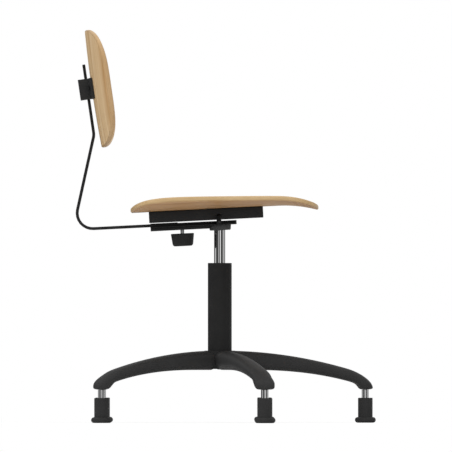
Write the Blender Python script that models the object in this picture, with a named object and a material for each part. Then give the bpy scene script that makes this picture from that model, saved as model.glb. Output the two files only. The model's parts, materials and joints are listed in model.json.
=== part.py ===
"""Swivel chair: plywood seat and backrest on a gas spring and a five-armed base with glides.

Lengths are metres and angles are degrees. +Z is up and +X is the way the sitter faces.
The origin lies on the floor under the middle of the chair's outline.
"""
import math

import bmesh
import bpy
from mathutils import Matrix, Vector

# Main height
SEAT_HEIGHT = 0.4581

# Fits and facets
GAP = 0.0003
FACETS = 28
SMALL_FACETS = 14
HUB_FACETS = 36
GLIDE_FACETS = 22
CORNER_STEPS = 3
BEND_STEPS = 8
SMOOTH_ANGLE = 32.0

# Glides
GLIDE_CIRCLE_RADIUS = 0.3047
GLIDE_HEIGHT = 0.0522
GLIDE_BODY_DIAMETER = 0.0306
GLIDE_FLANGE_DIAMETER = 0.0438
GLIDE_FLANGE_HEIGHT = 0.0118
GLIDE_RIM_RADIUS = 0.0020
GLIDE_RIM_STEPS = 2
GLIDE_FLANGE_STEPS = 6
COLLAR_DIAMETER = 0.0150
COLLAR_SHOWN = 0.0174
COLLAR_SUNK = 0.0300
STEM_PIN_DIAMETER = 0.0080
STEM_PIN_LENGTH = 0.0140
SOCKET_WALL = 0.0020
SOCKET_FLOOR = 0.0020

# Base
ARM_COUNT = 5
ARM_TIP_WIDTH = 0.0413
ARM_WALL = 0.0020
ARM_END_DEPTH = 0.0253
ARM_TIP_DEPTH = 0.0318
ARM_LEVEL_REACH = 0.0600
ARM_TOP_POWER = 2.06
ARM_UNDERSIDE_POWER = 2.34
ARM_NOSE_LENGTH = 0.0541
ARM_NOSE_REACH = 0.0157
ARM_NOSE_HEIGHT = 0.0036
ARM_FOOT_RADIUS = 0.0167
ARM_FOOT_SHARPNESS = 6.8
ARM_FOOT_SPREAD = 2.2
ARM_FOOT_POWER = 1.12
ARM_FOOT_ROUNDNESS = 5.2
ARM_SOLID_LENGTH = 0.0360
ARM_ROUNDNESS = 2.3
ARM_SIDES = 16
ARM_OUTER_RINGS = 6
ARM_INNER_RINGS = 5
ARM_FOOT_SHARES = (1.6, 1.3, 1.12, 0.95, 0.75, 0.4, 0.0)
ARM_NOSE_SHARES = (0.4, 0.65, 0.82, 0.93, 0.985)
HUB_DIAMETER = 0.0690
HUB_HEIGHT = 0.0407
HUB_RISE = 0.0407
HUB_EDGE_RADIUS = 0.0030
HUB_UNDERSIDE_RISE = 0.0020

# Column and gas spring
TUBE_DIAMETER = 0.0500
TUBE_WALL = 0.0020
TUBE_FLOOR = 0.0030
TUBE_FLOOR_RISE = 0.0040
TUBE_EDGE_RADIUS = 0.0012
BUSH_LENGTH = 0.0680
CYLINDER_DIAMETER = 0.0240
CYLINDER_WALL = 0.0020
CYLINDER_SHOWN = 0.0687
CYLINDER_HIDDEN = 0.1340
CYLINDER_HEAD = 0.0030
NECK_DIAMETER = 0.0160
NECK_CLEARANCE = 0.0006
NECK_BELOW_BAR_TOP = 0.0015
ROD_DIAMETER = 0.0100
ROD_SPIGOT_DIAMETER = 0.0060
ROD_GUIDE_LENGTH = 0.0120
ROD_END = 0.0030
PISTON_LENGTH = 0.0140
PISTON_BELOW_TUBE_TOP = 0.0300
RACE_DIAMETER = 0.0260
RACE_HEIGHT = 0.0025
CAGE_HEIGHT = 0.0040
CAGE_DIAMETER = 0.0240
BUMP_DIAMETER = 0.0220
BUMP_HEIGHT = 0.0100
CLIP_DIAMETER = 0.0180
CLIP_HEIGHT = 0.0016
VALVE_PIN_DIAMETER = 0.0060
VALVE_PIN_SUNK = 0.0100

# Seat carrier, square to the seat pan, which tilts its front edge up
CARRIER_TILT = 2.85
BAR_THICKNESS = 0.0060
BAR_WIDTH = 0.0500
BAR_SIDE_CLEARANCE = 0.0005
PLATE_THICKNESS = 0.0020
PLATE_FRONT = 0.0350
CARRIER_REAR_INSET = 0.0020
CONE_TOP_DIAMETER = 0.0462
CONE_BOTTOM_DIAMETER = 0.0438
CONE_HEIGHT = 0.0109
CONE_EDGE_RADIUS = 0.0025
HOUSING_WIDTH = 0.0800
HOUSING_HEIGHT = 0.0061
HOUSING_SHEET = 0.0015
HOUSING_LAP = 0.0020
STRAP_LENGTH = 0.0570
STRAP_SHEET = 0.0009
STRAP_LEG = 0.0020
POST_LENGTH = 0.0100
POST_WIDTH = 0.0295
PAN_LENGTH = 0.2390
PAN_FRONT = 0.0915
PAN_WIDTH = 0.1500
PAN_HEIGHT = 0.0228
PAN_SHEET = 0.0025
PAN_CORNER_RADIUS = 0.0060
PAN_BAR_GAP = 0.0030

# Bar clamp
CLAMP_FROM_REAR = 0.0660
CLAMP_SCREW_DIAMETER = 0.0080
CLAMP_SCREW_SHOWN = 0.0077
CLAMP_SCREW_SUNK = 0.0180
CLAMP_PAD_DIAMETER = 0.0150
CLAMP_PAD_THICKNESS = 0.0018
CLAMP_NUT_WIDTH = 0.0130
CLAMP_NUT_HEIGHT = 0.0032
KNOB_TOP_DIAMETER = 0.0491
KNOB_BOTTOM_DIAMETER = 0.0424
KNOB_HEIGHT = 0.0265
KNOB_TOP_RADIUS = 0.0015
KNOB_BOTTOM_RADIUS = 0.0050
KNOB_BOTTOM_STEPS = 4

# Height lever
LEVER_OFFSET = -0.0017
LEVER_ARM_WIDTH = 0.0050
LEVER_ARM_HEIGHT = 0.0070
LEVER_ABOVE_BAR = 0.0037
LEVER_INNER_REACH = 0.0050
LEVER_TRAVEL = 4.0
LEVER_CLEARANCE = 0.0008
LEVER_PIN_DIAMETER = 0.0040
GRIP_WIDTH = 0.0084
GRIP_HEIGHT = 0.0140
GRIP_DROP = 0.0067
GRIP_LENGTH = 0.0930
GRIP_END = 0.1750
GRIP_SOCKET = 0.0250
GRIP_EDGE_RADIUS = 0.0030
GRIP_INNER_EDGE = 0.0010
GRIP_CORNER_STEPS = 4
GRIP_END_SHARES = (0.0, 0.5, 0.87, 1.0)

# Back bar
BAR_FRONT = 0.0350
BAR_REAR = 0.3076
BAR_UPRIGHT = 0.2028
BAR_TOP = 0.1488
BAR_UPRIGHT_LEAN = 12.4
BACK_LEAN = 8.3
BAR_LOWER_BEND = 0.0325
BAR_UPPER_BEND = 0.0330
BAR_SLOT_WIDTH = 0.0200
BAR_SLOT_REAR = 0.0390

# Backrest bracket
BRACKET_BELOW_TOP = 0.0517
BRACKET_HEIGHT = 0.0430
BRACKET_WIDTH = 0.0620
BRACKET_REAR = 0.0169
BRACKET_FRONT = 0.0090
BRACKET_EDGE_RADIUS = 0.0020
FLANGE_WIDTH = 0.1500
FLANGE_THICKNESS = 0.0050
FLANGE_STEPS = 10
LINER_WALL = 0.0015

# Plywood shells
PLY_THICKNESS = 0.0095
PLY_EDGE_RADIUS = 0.0030
SEAT_DEPTH = 0.3927
SEAT_WIDTH = 0.4000
SEAT_FRONT = 0.2074
SEAT_FRONT_SQUARENESS = 6.0
SEAT_REAR_SQUARENESS = 4.75
SEAT_DISH_FRONT = 0.0053
SEAT_DISH_MIDDLE = 0.0147
SEAT_DISH_REAR = 0.0212
SEAT_ROLL_START = 0.1262
SEAT_ROLL_LENGTH = 0.0790
SEAT_ROLL_ANGLE = 17.5
BACK_HEIGHT = 0.2475
BACK_WIDTH = 0.3900
BACK_SQUARENESS = 3.38
BACK_SAGITTA = 0.0320
BACK_BOW = 0.0030
BACK_DROP = 0.0018
SHELL_SIDES = 44
SHELL_RINGS = 5
SHELL_MIDDLE_SHARE = 0.6
SHELL_EDGE_STEPS = 2

# Shell screws
SEAT_SCREW_DIAMETER = 0.0060
SEAT_SCREW_DEPTH = 0.0060
SEAT_SCREW_HEAD = 0.0120
SEAT_SCREW_HEAD_HEIGHT = 0.0033
SEAT_SCREW_FRONT = 0.0450
SEAT_SCREW_REAR = 0.1000
SEAT_SCREW_SIDE = 0.0500
BACK_SCREW_DIAMETER = 0.0050
BACK_SCREW_DEPTH = 0.0060
BACK_SCREW_HEAD = 0.0110
BACK_SCREW_HEAD_HEIGHT = 0.0024
BACK_SCREW_SIDE = 0.0500

# Heights above the floor that follow from the sizes above
ARM_PAD_Z = GLIDE_HEIGHT + COLLAR_SHOWN
HUB_BOTTOM_Z = ARM_PAD_Z + HUB_RISE
HUB_TOP_Z = HUB_BOTTOM_Z + HUB_HEIGHT
TUBE_BOTTOM_Z = HUB_BOTTOM_Z + TUBE_FLOOR_RISE

# Levels in the carrier, measured square to it from the top of the bar
BAR_BOTTOM = -BAR_THICKNESS
PLATE_TOP = BAR_BOTTOM - GAP
PLATE_BOTTOM = PLATE_TOP - PLATE_THICKNESS
CONE_TOP = PLATE_BOTTOM - GAP
CONE_BOTTOM = CONE_TOP - CONE_HEIGHT
HOUSING_TOP = PLATE_BOTTOM - GAP
HOUSING_BOTTOM = HOUSING_TOP - HOUSING_HEIGHT
HOUSING_FLOOR = HOUSING_BOTTOM + HOUSING_SHEET
KNOB_TOP = HOUSING_BOTTOM - CLAMP_SCREW_SHOWN
PAN_BOTTOM = PAN_BAR_GAP
PAN_TOP = PAN_BOTTOM + PAN_HEIGHT
POST_BOTTOM = PLATE_TOP + GAP
POST_TOP = PAN_TOP - PAN_SHEET - GAP
POST_INNER_Y = BAR_WIDTH / 2 + BAR_SIDE_CLEARANCE
POST_MIDDLE_Y = POST_INNER_Y + POST_WIDTH / 2
SEAT_UNDERSIDE = PAN_TOP + GAP
SEAT_TOP = SEAT_UNDERSIDE + PLY_THICKNESS
CARRIER_REAR = PAN_LENGTH - PAN_FRONT - CARRIER_REAR_INSET
CLAMP_REACH = CARRIER_REAR - CLAMP_FROM_REAR
LEVER_TOP = LEVER_ABOVE_BAR + LEVER_ARM_HEIGHT
LEVER_MIDDLE = LEVER_ABOVE_BAR + LEVER_ARM_HEIGHT / 2
TILT = math.radians(CARRIER_TILT)
CARRIER_Z = SEAT_HEIGHT - SEAT_TOP * math.cos(TILT)
TUBE_TOP_Z = CARRIER_Z + CONE_BOTTOM * math.cos(TILT) - CYLINDER_SHOWN
CYLINDER_BOTTOM_Z = TUBE_TOP_Z - CYLINDER_HIDDEN

# The column stands behind the middle of the outline, between the bar's lower bend and the front glide
FRONT_LIMIT = GLIDE_CIRCLE_RADIUS + GLIDE_FLANGE_DIAMETER / 2
UPRIGHT_SLOPE = math.radians(90.0 - BAR_UPRIGHT_LEAN - CARRIER_TILT)
BEND_CENTRE_REACH = BAR_REAR - BAR_LOWER_BEND / math.tan(UPRIGHT_SLOPE / 2)
BEND_CENTRE_RISE = BAR_LOWER_BEND - BAR_THICKNESS / 2
BEND_CENTRE_X = BEND_CENTRE_REACH * math.cos(TILT) + BEND_CENTRE_RISE * math.sin(TILT)
REAR_LIMIT = BEND_CENTRE_X + BAR_LOWER_BEND + BAR_THICKNESS / 2
COLUMN_X = (REAR_LIMIT - FRONT_LIMIT) / 2


def finish(name, colour, roughness, metallic=0.0):
    """A plain surface with one colour."""
    material = bpy.data.materials.new(name)
    material.use_nodes = True
    shader = material.node_tree.nodes["Principled BSDF"]
    shader.inputs["Base Color"].default_value = (*colour, 1.0)
    shader.inputs["Roughness"].default_value = roughness
    shader.inputs["Metallic"].default_value = metallic
    return material


def frame(name, parent=None, location=(0.0, 0.0, 0.0), turn_y=0.0):
    """An empty that carries pieces, turned about Y by an angle in radians."""
    empty = bpy.data.objects.new(name, None)
    bpy.context.scene.collection.objects.link(empty)
    empty.parent = parent
    empty.location = location
    empty.rotation_euler = (0.0, turn_y, 0.0)
    return empty


def piece(name, shape, material):
    """Turn a finished bmesh into an object at the world origin."""
    bmesh.ops.recalc_face_normals(shape, faces=shape.faces)
    mesh = bpy.data.meshes.new(name)
    shape.to_mesh(mesh)
    shape.free()
    mesh.materials.append(material)
    solid = bpy.data.objects.new(name, mesh)
    bpy.context.scene.collection.objects.link(solid)
    return solid


def place(solid, parent, location=(0.0, 0.0, 0.0), turn_z=0.0):
    """Shade a piece and hang it on its frame."""
    solid.data.shade_smooth()
    solid.data.set_sharp_from_angle(angle=math.radians(SMOOTH_ANGLE))
    solid.parent = parent
    solid.location = location
    solid.rotation_euler = (0.0, 0.0, turn_z)
    return solid


def copy_of(solid, name, parent, location=(0.0, 0.0, 0.0), turn_z=0.0):
    """A second piece of the same shape."""
    twin = bpy.data.objects.new(name, solid.data)
    bpy.context.scene.collection.objects.link(twin)
    twin.parent = parent
    twin.location = location
    twin.rotation_euler = (0.0, 0.0, turn_z)
    return twin


def cut(solid, shape):
    """Take a closed shape out of a piece, both in the same frame."""
    cutter = piece("cutter", shape, solid.data.materials[0])
    modifier = solid.modifiers.new("cut", "BOOLEAN")
    modifier.operation = "DIFFERENCE"
    modifier.solver = "EXACT"
    modifier.object = cutter
    depsgraph = bpy.context.evaluated_depsgraph_get()
    result = bpy.data.meshes.new_from_object(solid.evaluated_get(depsgraph))
    solid.modifiers.clear()
    solid.data = result
    bpy.data.objects.remove(cutter)


def loft(rings, closed=False):
    """Skin rings of equal point counts, capped at both ends or joined end to end."""
    shape = bmesh.new()
    loops = [[shape.verts.new(point) for point in ring] for ring in rings]
    pairs = list(zip(loops, loops[1:]))
    if closed:
        pairs.append((loops[-1], loops[0]))
    for first, second in pairs:
        for i in range(len(first)):
            j = (i + 1) % len(first)
            shape.faces.new((first[i], first[j], second[j], second[i]))
    if not closed:
        shape.faces.new(loops[0])
        shape.faces.new(loops[-1])
    return shape


def turned(profile, solid=False, facets=FACETS):
    """Turn a profile of (radius, height) points about Z: a closed ring, or a solid with flat ends."""
    angles = [2 * math.pi * i / facets for i in range(facets)]
    rings = [[(r * math.cos(a), r * math.sin(a), z) for a in angles] for r, z in profile]
    return loft(rings, closed=not solid)


def ring_profile(inner, outer, low, high):
    """Profile of a plain ring."""
    return [(inner, high), (outer, high), (outer, low), (inner, low)]


def fillet(corner, before, after, radius, steps=CORNER_STEPS):
    """Points of a rounded right-angled corner, from one side to the other."""
    corner = Vector(corner)
    start = (Vector(before) - corner).normalized() * radius
    end = (Vector(after) - corner).normalized() * radius
    points = []
    for i in range(steps + 1):
        angle = math.pi / 2 * i / steps
        point = corner + start * (1 - math.sin(angle)) + end * (1 - math.cos(angle))
        points.append(tuple(point))
    return points


def rounded_rectangle(half_x, half_y, radius, steps=CORNER_STEPS):
    """Corner points of a rectangle with round corners, counter-clockwise."""
    points = []
    for quarter, (side_x, side_y) in enumerate(((1, 1), (-1, 1), (-1, -1), (1, -1))):
        for i in range(steps + 1):
            angle = math.pi / 2 * (quarter + i / steps)
            x = side_x * (half_x - radius) + radius * math.cos(angle)
            y = side_y * (half_y - radius) + radius * math.sin(angle)
            points.append((x, y))
    return points


def prism(outline, low, high, along):
    """Extrude a flat outline along X, Y or Z; the outline holds the other two axes in order."""
    def point(pair, depth):
        a, b = pair
        return {"x": (depth, a, b), "y": (a, depth, b), "z": (a, b, depth)}[along]

    return loft([[point(pair, depth) for pair in outline] for depth in (low, high)])


def block(low, high):
    """A rectangular block between two corners."""
    outline = [(low[0], low[1]), (high[0], low[1]), (high[0], high[1]), (low[0], high[1])]
    return prism(outline, low[2], high[2], "z")


def rod_shape(radius, low, high, along, centre=(0.0, 0.0), facets=SMALL_FACETS):
    """A straight round bar or hole along one axis, centred in the other two."""
    angles = [2 * math.pi * i / facets for i in range(facets)]
    outline = [(centre[0] + radius * math.cos(a), centre[1] + radius * math.sin(a)) for a in angles]
    return prism(outline, low, high, along)


def superellipse(half_a, half_b, squareness, sides, rear_squareness=None):
    """Points of a rounded outline; the half behind the middle may have its own squareness."""
    points = []
    for i in range(sides):
        angle = 2 * math.pi * i / sides
        c = math.cos(angle)
        s = math.sin(angle)
        power = 2 / (rear_squareness if rear_squareness and c < 0 else squareness)
        a = half_a * math.copysign(abs(c) ** power, c)
        b = half_b * math.copysign(abs(s) ** power, s)
        points.append((a, b))
    return points


# Base

HUB_RIM = HUB_DIAMETER / 2 + 2 * GAP
ARM_ROOT_HALF_WIDTH = HUB_RIM * math.sin(math.pi / ARM_COUNT) - GAP
ARM_TIP_RADIUS = GLIDE_CIRCLE_RADIUS + ARM_NOSE_REACH
SOCKET_BORE = STEM_PIN_DIAMETER / 2 + GAP
SOCKET_RADIUS = SOCKET_BORE + SOCKET_WALL
SOCKET_TOP_Z = ARM_PAD_Z + STEM_PIN_LENGTH + GAP + SOCKET_FLOOR


def arm_level(radius):
    """Height of an arm's upper line before the nose rounds it off."""
    fall = HUB_TOP_Z - ARM_PAD_Z - ARM_TIP_DEPTH
    return HUB_TOP_Z - fall * (radius / GLIDE_CIRCLE_RADIUS) ** ARM_TOP_POWER


def arm_top(radius):
    """Height of an arm's top at a distance from the column."""
    along = (radius - ARM_TIP_RADIUS + ARM_NOSE_LENGTH) / ARM_NOSE_LENGTH
    if along <= 0:
        return arm_level(radius)
    nose_fall = arm_level(ARM_TIP_RADIUS) - ARM_PAD_Z - ARM_NOSE_HEIGHT
    return arm_level(radius) - nose_fall * (1 - math.sqrt(1 - along ** 2))


def foot_share(radius, side=0.0):
    """How far an arm's underside has come down to the foot over the glide, from 0 to 1."""
    along = abs(radius - GLIDE_CIRCLE_RADIUS)
    across = abs(side) / ARM_FOOT_SPREAD
    from_glide = (along ** ARM_FOOT_POWER + across ** ARM_FOOT_POWER) ** (1 / ARM_FOOT_POWER)
    return 1 / (1 + (from_glide / ARM_FOOT_RADIUS) ** ARM_FOOT_SHARPNESS)


def arm_underside(radius, side=0.0):
    """Height of an arm's underside, which swells to a foot over the glide and rises to the nose."""
    end_level = ARM_PAD_Z + ARM_TIP_DEPTH - ARM_END_DEPTH
    along = max(0.0, (radius - ARM_LEVEL_REACH) / (GLIDE_CIRCLE_RADIUS - ARM_LEVEL_REACH))
    level = HUB_BOTTOM_Z - (HUB_BOTTOM_Z - end_level) * along ** ARM_UNDERSIDE_POWER
    low = level + (ARM_PAD_Z - level) * foot_share(radius, side)
    return low + (ARM_PAD_Z + ARM_NOSE_HEIGHT - low) * (1 - nose_narrowing(radius)) ** 2


def nose_narrowing(radius):
    """Share of the width left at the rounded end of an arm."""
    along = max(0.0, (radius - GLIDE_CIRCLE_RADIUS) / ARM_NOSE_REACH)
    return math.sqrt(1 - along ** 2)


def arm_ring(radius, inset=0.0):
    """Points round an arm at a distance from the column; the root ring lies on the hub's rim."""
    share = (radius - HUB_RIM) / (GLIDE_CIRCLE_RADIUS - HUB_RIM)
    width = ARM_ROOT_HALF_WIDTH + (ARM_TIP_WIDTH / 2 - ARM_ROOT_HALF_WIDTH) * min(1.0, share)
    half_width = width * nose_narrowing(radius) - inset
    top = arm_top(radius) - inset
    middle = (top + arm_underside(radius) + inset) / 2
    low_roundness = ARM_ROUNDNESS + (ARM_FOOT_ROUNDNESS - ARM_ROUNDNESS) * foot_share(radius)
    upper = superellipse(half_width, 1.0, ARM_ROUNDNESS, ARM_SIDES)
    lower = superellipse(half_width, 1.0, low_roundness, ARM_SIDES)
    ring = []
    for upper_point, lower_point in zip(upper, lower):
        y, rise = upper_point if upper_point[1] > 0 else lower_point
        x = math.sqrt(HUB_RIM ** 2 - y ** 2) if radius == HUB_RIM else radius
        reach = top - middle if rise > 0 else middle - arm_underside(radius, y) - inset
        ring.append((x, y, middle + rise * reach))
    return ring


def arm_shape():
    """A hollow arm along +X, open towards the hub and solid over the glide."""
    def spread(start, end, count):
        return [start + (end - start) * i / count for i in range(count + 1)]

    solid_start = GLIDE_CIRCLE_RADIUS - ARM_SOLID_LENGTH
    outer = spread(HUB_RIM, solid_start, ARM_OUTER_RINGS)
    outer += [GLIDE_CIRCLE_RADIUS - ARM_FOOT_RADIUS * share for share in ARM_FOOT_SHARES]
    outer += [GLIDE_CIRCLE_RADIUS + ARM_NOSE_REACH * share for share in ARM_NOSE_SHARES]
    inner = spread(HUB_RIM, solid_start - ARM_WALL, ARM_INNER_RINGS)
    rings = [arm_ring(radius, ARM_WALL) for radius in reversed(inner)]
    rings += [arm_ring(radius) for radius in outer]
    return loft(rings)


def build_base(column, coat, steel, plastic):
    """Hub, arms, stem sockets, column tube, bush and the fixed half of the thrust bearing."""
    bore = TUBE_DIAMETER / 2 + GAP
    rim = HUB_DIAMETER / 2
    low = HUB_BOTTOM_Z + HUB_UNDERSIDE_RISE
    profile = [(bore, HUB_TOP_Z)]
    profile += fillet((rim, HUB_TOP_Z), (bore, HUB_TOP_Z), (rim, low), HUB_EDGE_RADIUS)
    profile += [(rim, low), (bore, low)]
    place(piece("base_hub", turned(profile, facets=HUB_FACETS), coat), column)

    arm = piece("base_arm_1", arm_shape(), coat)
    socket_hole = rod_shape(SOCKET_RADIUS + GAP, 0.0, SOCKET_TOP_Z + GAP, "z", (GLIDE_CIRCLE_RADIUS, 0.0))
    cut(arm, socket_hole)
    socket_bottom = ARM_PAD_Z + GAP
    socket_hole_top = SOCKET_TOP_Z - SOCKET_FLOOR
    socket_profile = [(SOCKET_BORE, socket_hole_top), (SOCKET_BORE, socket_bottom)]
    socket_profile += [(SOCKET_RADIUS, socket_bottom), (SOCKET_RADIUS, SOCKET_TOP_Z)]
    socket = piece("stem_socket_1", turned(socket_profile, solid=True, facets=SMALL_FACETS), plastic)
    place(arm, column)
    place(socket, column, (GLIDE_CIRCLE_RADIUS, 0.0, 0.0))
    for number in range(2, ARM_COUNT + 1):
        angle = 2 * math.pi * (number - 1) / ARM_COUNT
        spot = (GLIDE_CIRCLE_RADIUS * math.cos(angle), GLIDE_CIRCLE_RADIUS * math.sin(angle), 0.0)
        copy_of(arm, f"base_arm_{number}", column, turn_z=angle)
        copy_of(socket, f"stem_socket_{number}", column, spot, angle)

    outer = TUBE_DIAMETER / 2
    inner = outer - TUBE_WALL
    rod_hole = ROD_DIAMETER / 2 + GAP
    floor_top = TUBE_BOTTOM_Z + TUBE_FLOOR
    profile = [(inner, TUBE_TOP_Z)]
    profile += fillet((outer, TUBE_TOP_Z), (inner, TUBE_TOP_Z), (outer, TUBE_BOTTOM_Z), TUBE_EDGE_RADIUS)
    profile += [(outer, TUBE_BOTTOM_Z), (rod_hole, TUBE_BOTTOM_Z), (rod_hole, floor_top), (inner, floor_top)]
    place(piece("column_tube", turned(profile), coat), column)

    bush_profile = ring_profile(CYLINDER_DIAMETER / 2 + GAP, inner - GAP, TUBE_TOP_Z - BUSH_LENGTH, TUBE_TOP_Z)
    place(piece("guide_bush", turned(bush_profile), plastic), column)

    race_z = floor_top + GAP
    race_profile = ring_profile(rod_hole, RACE_DIAMETER / 2, race_z, race_z + RACE_HEIGHT)
    place(piece("bearing_lower_race", turned(race_profile, facets=SMALL_FACETS), steel), column)
    cage_z = race_z + RACE_HEIGHT + GAP
    cage_profile = ring_profile(rod_hole, CAGE_DIAMETER / 2, cage_z, cage_z + CAGE_HEIGHT)
    place(piece("bearing_cage", turned(cage_profile, facets=SMALL_FACETS), plastic), column)
    return cage_z + CAGE_HEIGHT + GAP


def build_glides(column, plastic, chrome):
    """Five glides, each with a chrome stem that turns in an arm's socket."""
    collar = COLLAR_DIAMETER / 2
    collar_bottom = GLIDE_HEIGHT - COLLAR_SUNK
    collar_top = ARM_PAD_Z - GAP
    pin = STEM_PIN_DIAMETER / 2
    pin_top = ARM_PAD_Z + STEM_PIN_LENGTH
    stem_profile = [(collar, collar_bottom), (collar, collar_top), (pin, collar_top), (pin, pin_top)]
    stem_shape = turned(stem_profile, solid=True, facets=SMALL_FACETS)

    hole = collar + GAP
    body = GLIDE_BODY_DIAMETER / 2
    flange = GLIDE_FLANGE_DIAMETER / 2
    edge = GLIDE_FLANGE_HEIGHT / 2
    profile = [(hole, collar_bottom - GAP), (hole, GLIDE_HEIGHT)]
    profile += fillet((body, GLIDE_HEIGHT), (hole, GLIDE_HEIGHT), (body, 0.0), GLIDE_RIM_RADIUS, GLIDE_RIM_STEPS)
    profile += [(body, GLIDE_FLANGE_HEIGHT)]
    for i in range(GLIDE_FLANGE_STEPS + 1):
        angle = math.pi * i / GLIDE_FLANGE_STEPS
        profile.append((flange - edge + edge * math.sin(angle), edge + edge * math.cos(angle)))
    body_shape = turned(profile, solid=True, facets=GLIDE_FACETS)

    stem = piece("glide_stem_1", stem_shape, chrome)
    foot = piece("glide_body_1", body_shape, plastic)
    place(stem, column, (GLIDE_CIRCLE_RADIUS, 0.0, 0.0))
    place(foot, column, (GLIDE_CIRCLE_RADIUS, 0.0, 0.0))
    for number in range(2, ARM_COUNT + 1):
        angle = 2 * math.pi * (number - 1) / ARM_COUNT
        spot = (GLIDE_CIRCLE_RADIUS * math.cos(angle), GLIDE_CIRCLE_RADIUS * math.sin(angle), 0.0)
        copy_of(stem, f"glide_stem_{number}", column, spot, angle)
        copy_of(foot, f"glide_body_{number}", column, spot, angle)


# Gas spring

CYLINDER_TOP_Z = CARRIER_Z + PLATE_BOTTOM * math.cos(TILT) - CYLINDER_DIAMETER / 2 * math.sin(TILT) - GAP
NECK_TOP_Z = CARRIER_Z - NECK_BELOW_BAR_TOP
PISTON_BOTTOM_Z = TUBE_TOP_Z - PISTON_BELOW_TUBE_TOP - PISTON_LENGTH


def build_rod(column, bearing_top, chrome, steel, rubber):
    """The rod stands on the thrust bearing and carries the piston."""
    rod = ROD_DIAMETER / 2
    spigot = ROD_SPIGOT_DIAMETER / 2
    bottom = TUBE_BOTTOM_Z - ROD_END
    shoulder = PISTON_BOTTOM_Z - GAP
    top = PISTON_BOTTOM_Z + PISTON_LENGTH
    profile = [(rod, bottom), (rod, shoulder), (spigot, shoulder), (spigot, top)]
    place(piece("piston_rod", turned(profile, solid=True, facets=SMALL_FACETS), chrome), column)

    bore = CYLINDER_DIAMETER / 2 - CYLINDER_WALL
    piston_profile = ring_profile(spigot + GAP, bore - GAP, PISTON_BOTTOM_Z, top)
    place(piece("piston", turned(piston_profile, facets=SMALL_FACETS), steel), column)

    race_profile = ring_profile(rod + GAP, RACE_DIAMETER / 2, bearing_top, bearing_top + RACE_HEIGHT)
    place(piece("bearing_upper_race", turned(race_profile, facets=SMALL_FACETS), steel), column)
    bump_z = bearing_top + RACE_HEIGHT + GAP
    bump_profile = ring_profile(rod + GAP, BUMP_DIAMETER / 2, bump_z, bump_z + BUMP_HEIGHT)
    place(piece("bump_stop", turned(bump_profile, facets=SMALL_FACETS), rubber), column)
    clip_z = TUBE_BOTTOM_Z - GAP
    clip_profile = ring_profile(rod + GAP, CLIP_DIAMETER / 2, clip_z - CLIP_HEIGHT, clip_z)
    place(piece("rod_clip", turned(clip_profile, facets=SMALL_FACETS), steel), column)


def build_cylinder(column, chrome, steel):
    """The chrome cylinder, its rod guide and the release pin in its neck."""
    outer = CYLINDER_DIAMETER / 2
    bore = outer - CYLINDER_WALL
    neck = NECK_DIAMETER / 2
    pin = VALVE_PIN_DIAMETER / 2
    head = CYLINDER_TOP_Z - CYLINDER_HEAD
    profile = [(bore, CYLINDER_BOTTOM_Z), (bore, head), (pin + GAP, head), (pin + GAP, NECK_TOP_Z)]
    profile += [(neck, NECK_TOP_Z), (neck, CYLINDER_TOP_Z), (outer, CYLINDER_TOP_Z)]
    profile += [(outer, CYLINDER_BOTTOM_Z)]
    place(piece("gas_cylinder", turned(profile), chrome), column)

    guide_top = CYLINDER_BOTTOM_Z + ROD_GUIDE_LENGTH
    guide_profile = ring_profile(ROD_DIAMETER / 2 + GAP, bore - GAP, CYLINDER_BOTTOM_Z, guide_top)
    place(piece("rod_guide", turned(guide_profile, facets=SMALL_FACETS), steel), column)

    pin_top = CARRIER_Z + (LEVER_ABOVE_BAR - GAP) * math.cos(TILT) - pin * math.sin(TILT)
    pin_profile = [(pin, NECK_TOP_Z - VALVE_PIN_SUNK), (pin, pin_top)]
    place(piece("valve_pin", turned(pin_profile, solid=True, facets=SMALL_FACETS), steel), column)


# Seat carrier

def upright(shape):
    """Stand a shape that was made along the column in the tilted carrier's frame."""
    bmesh.ops.rotate(shape, verts=shape.verts, matrix=Matrix.Rotation(TILT, 3, "Y"))
    return shape


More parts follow.
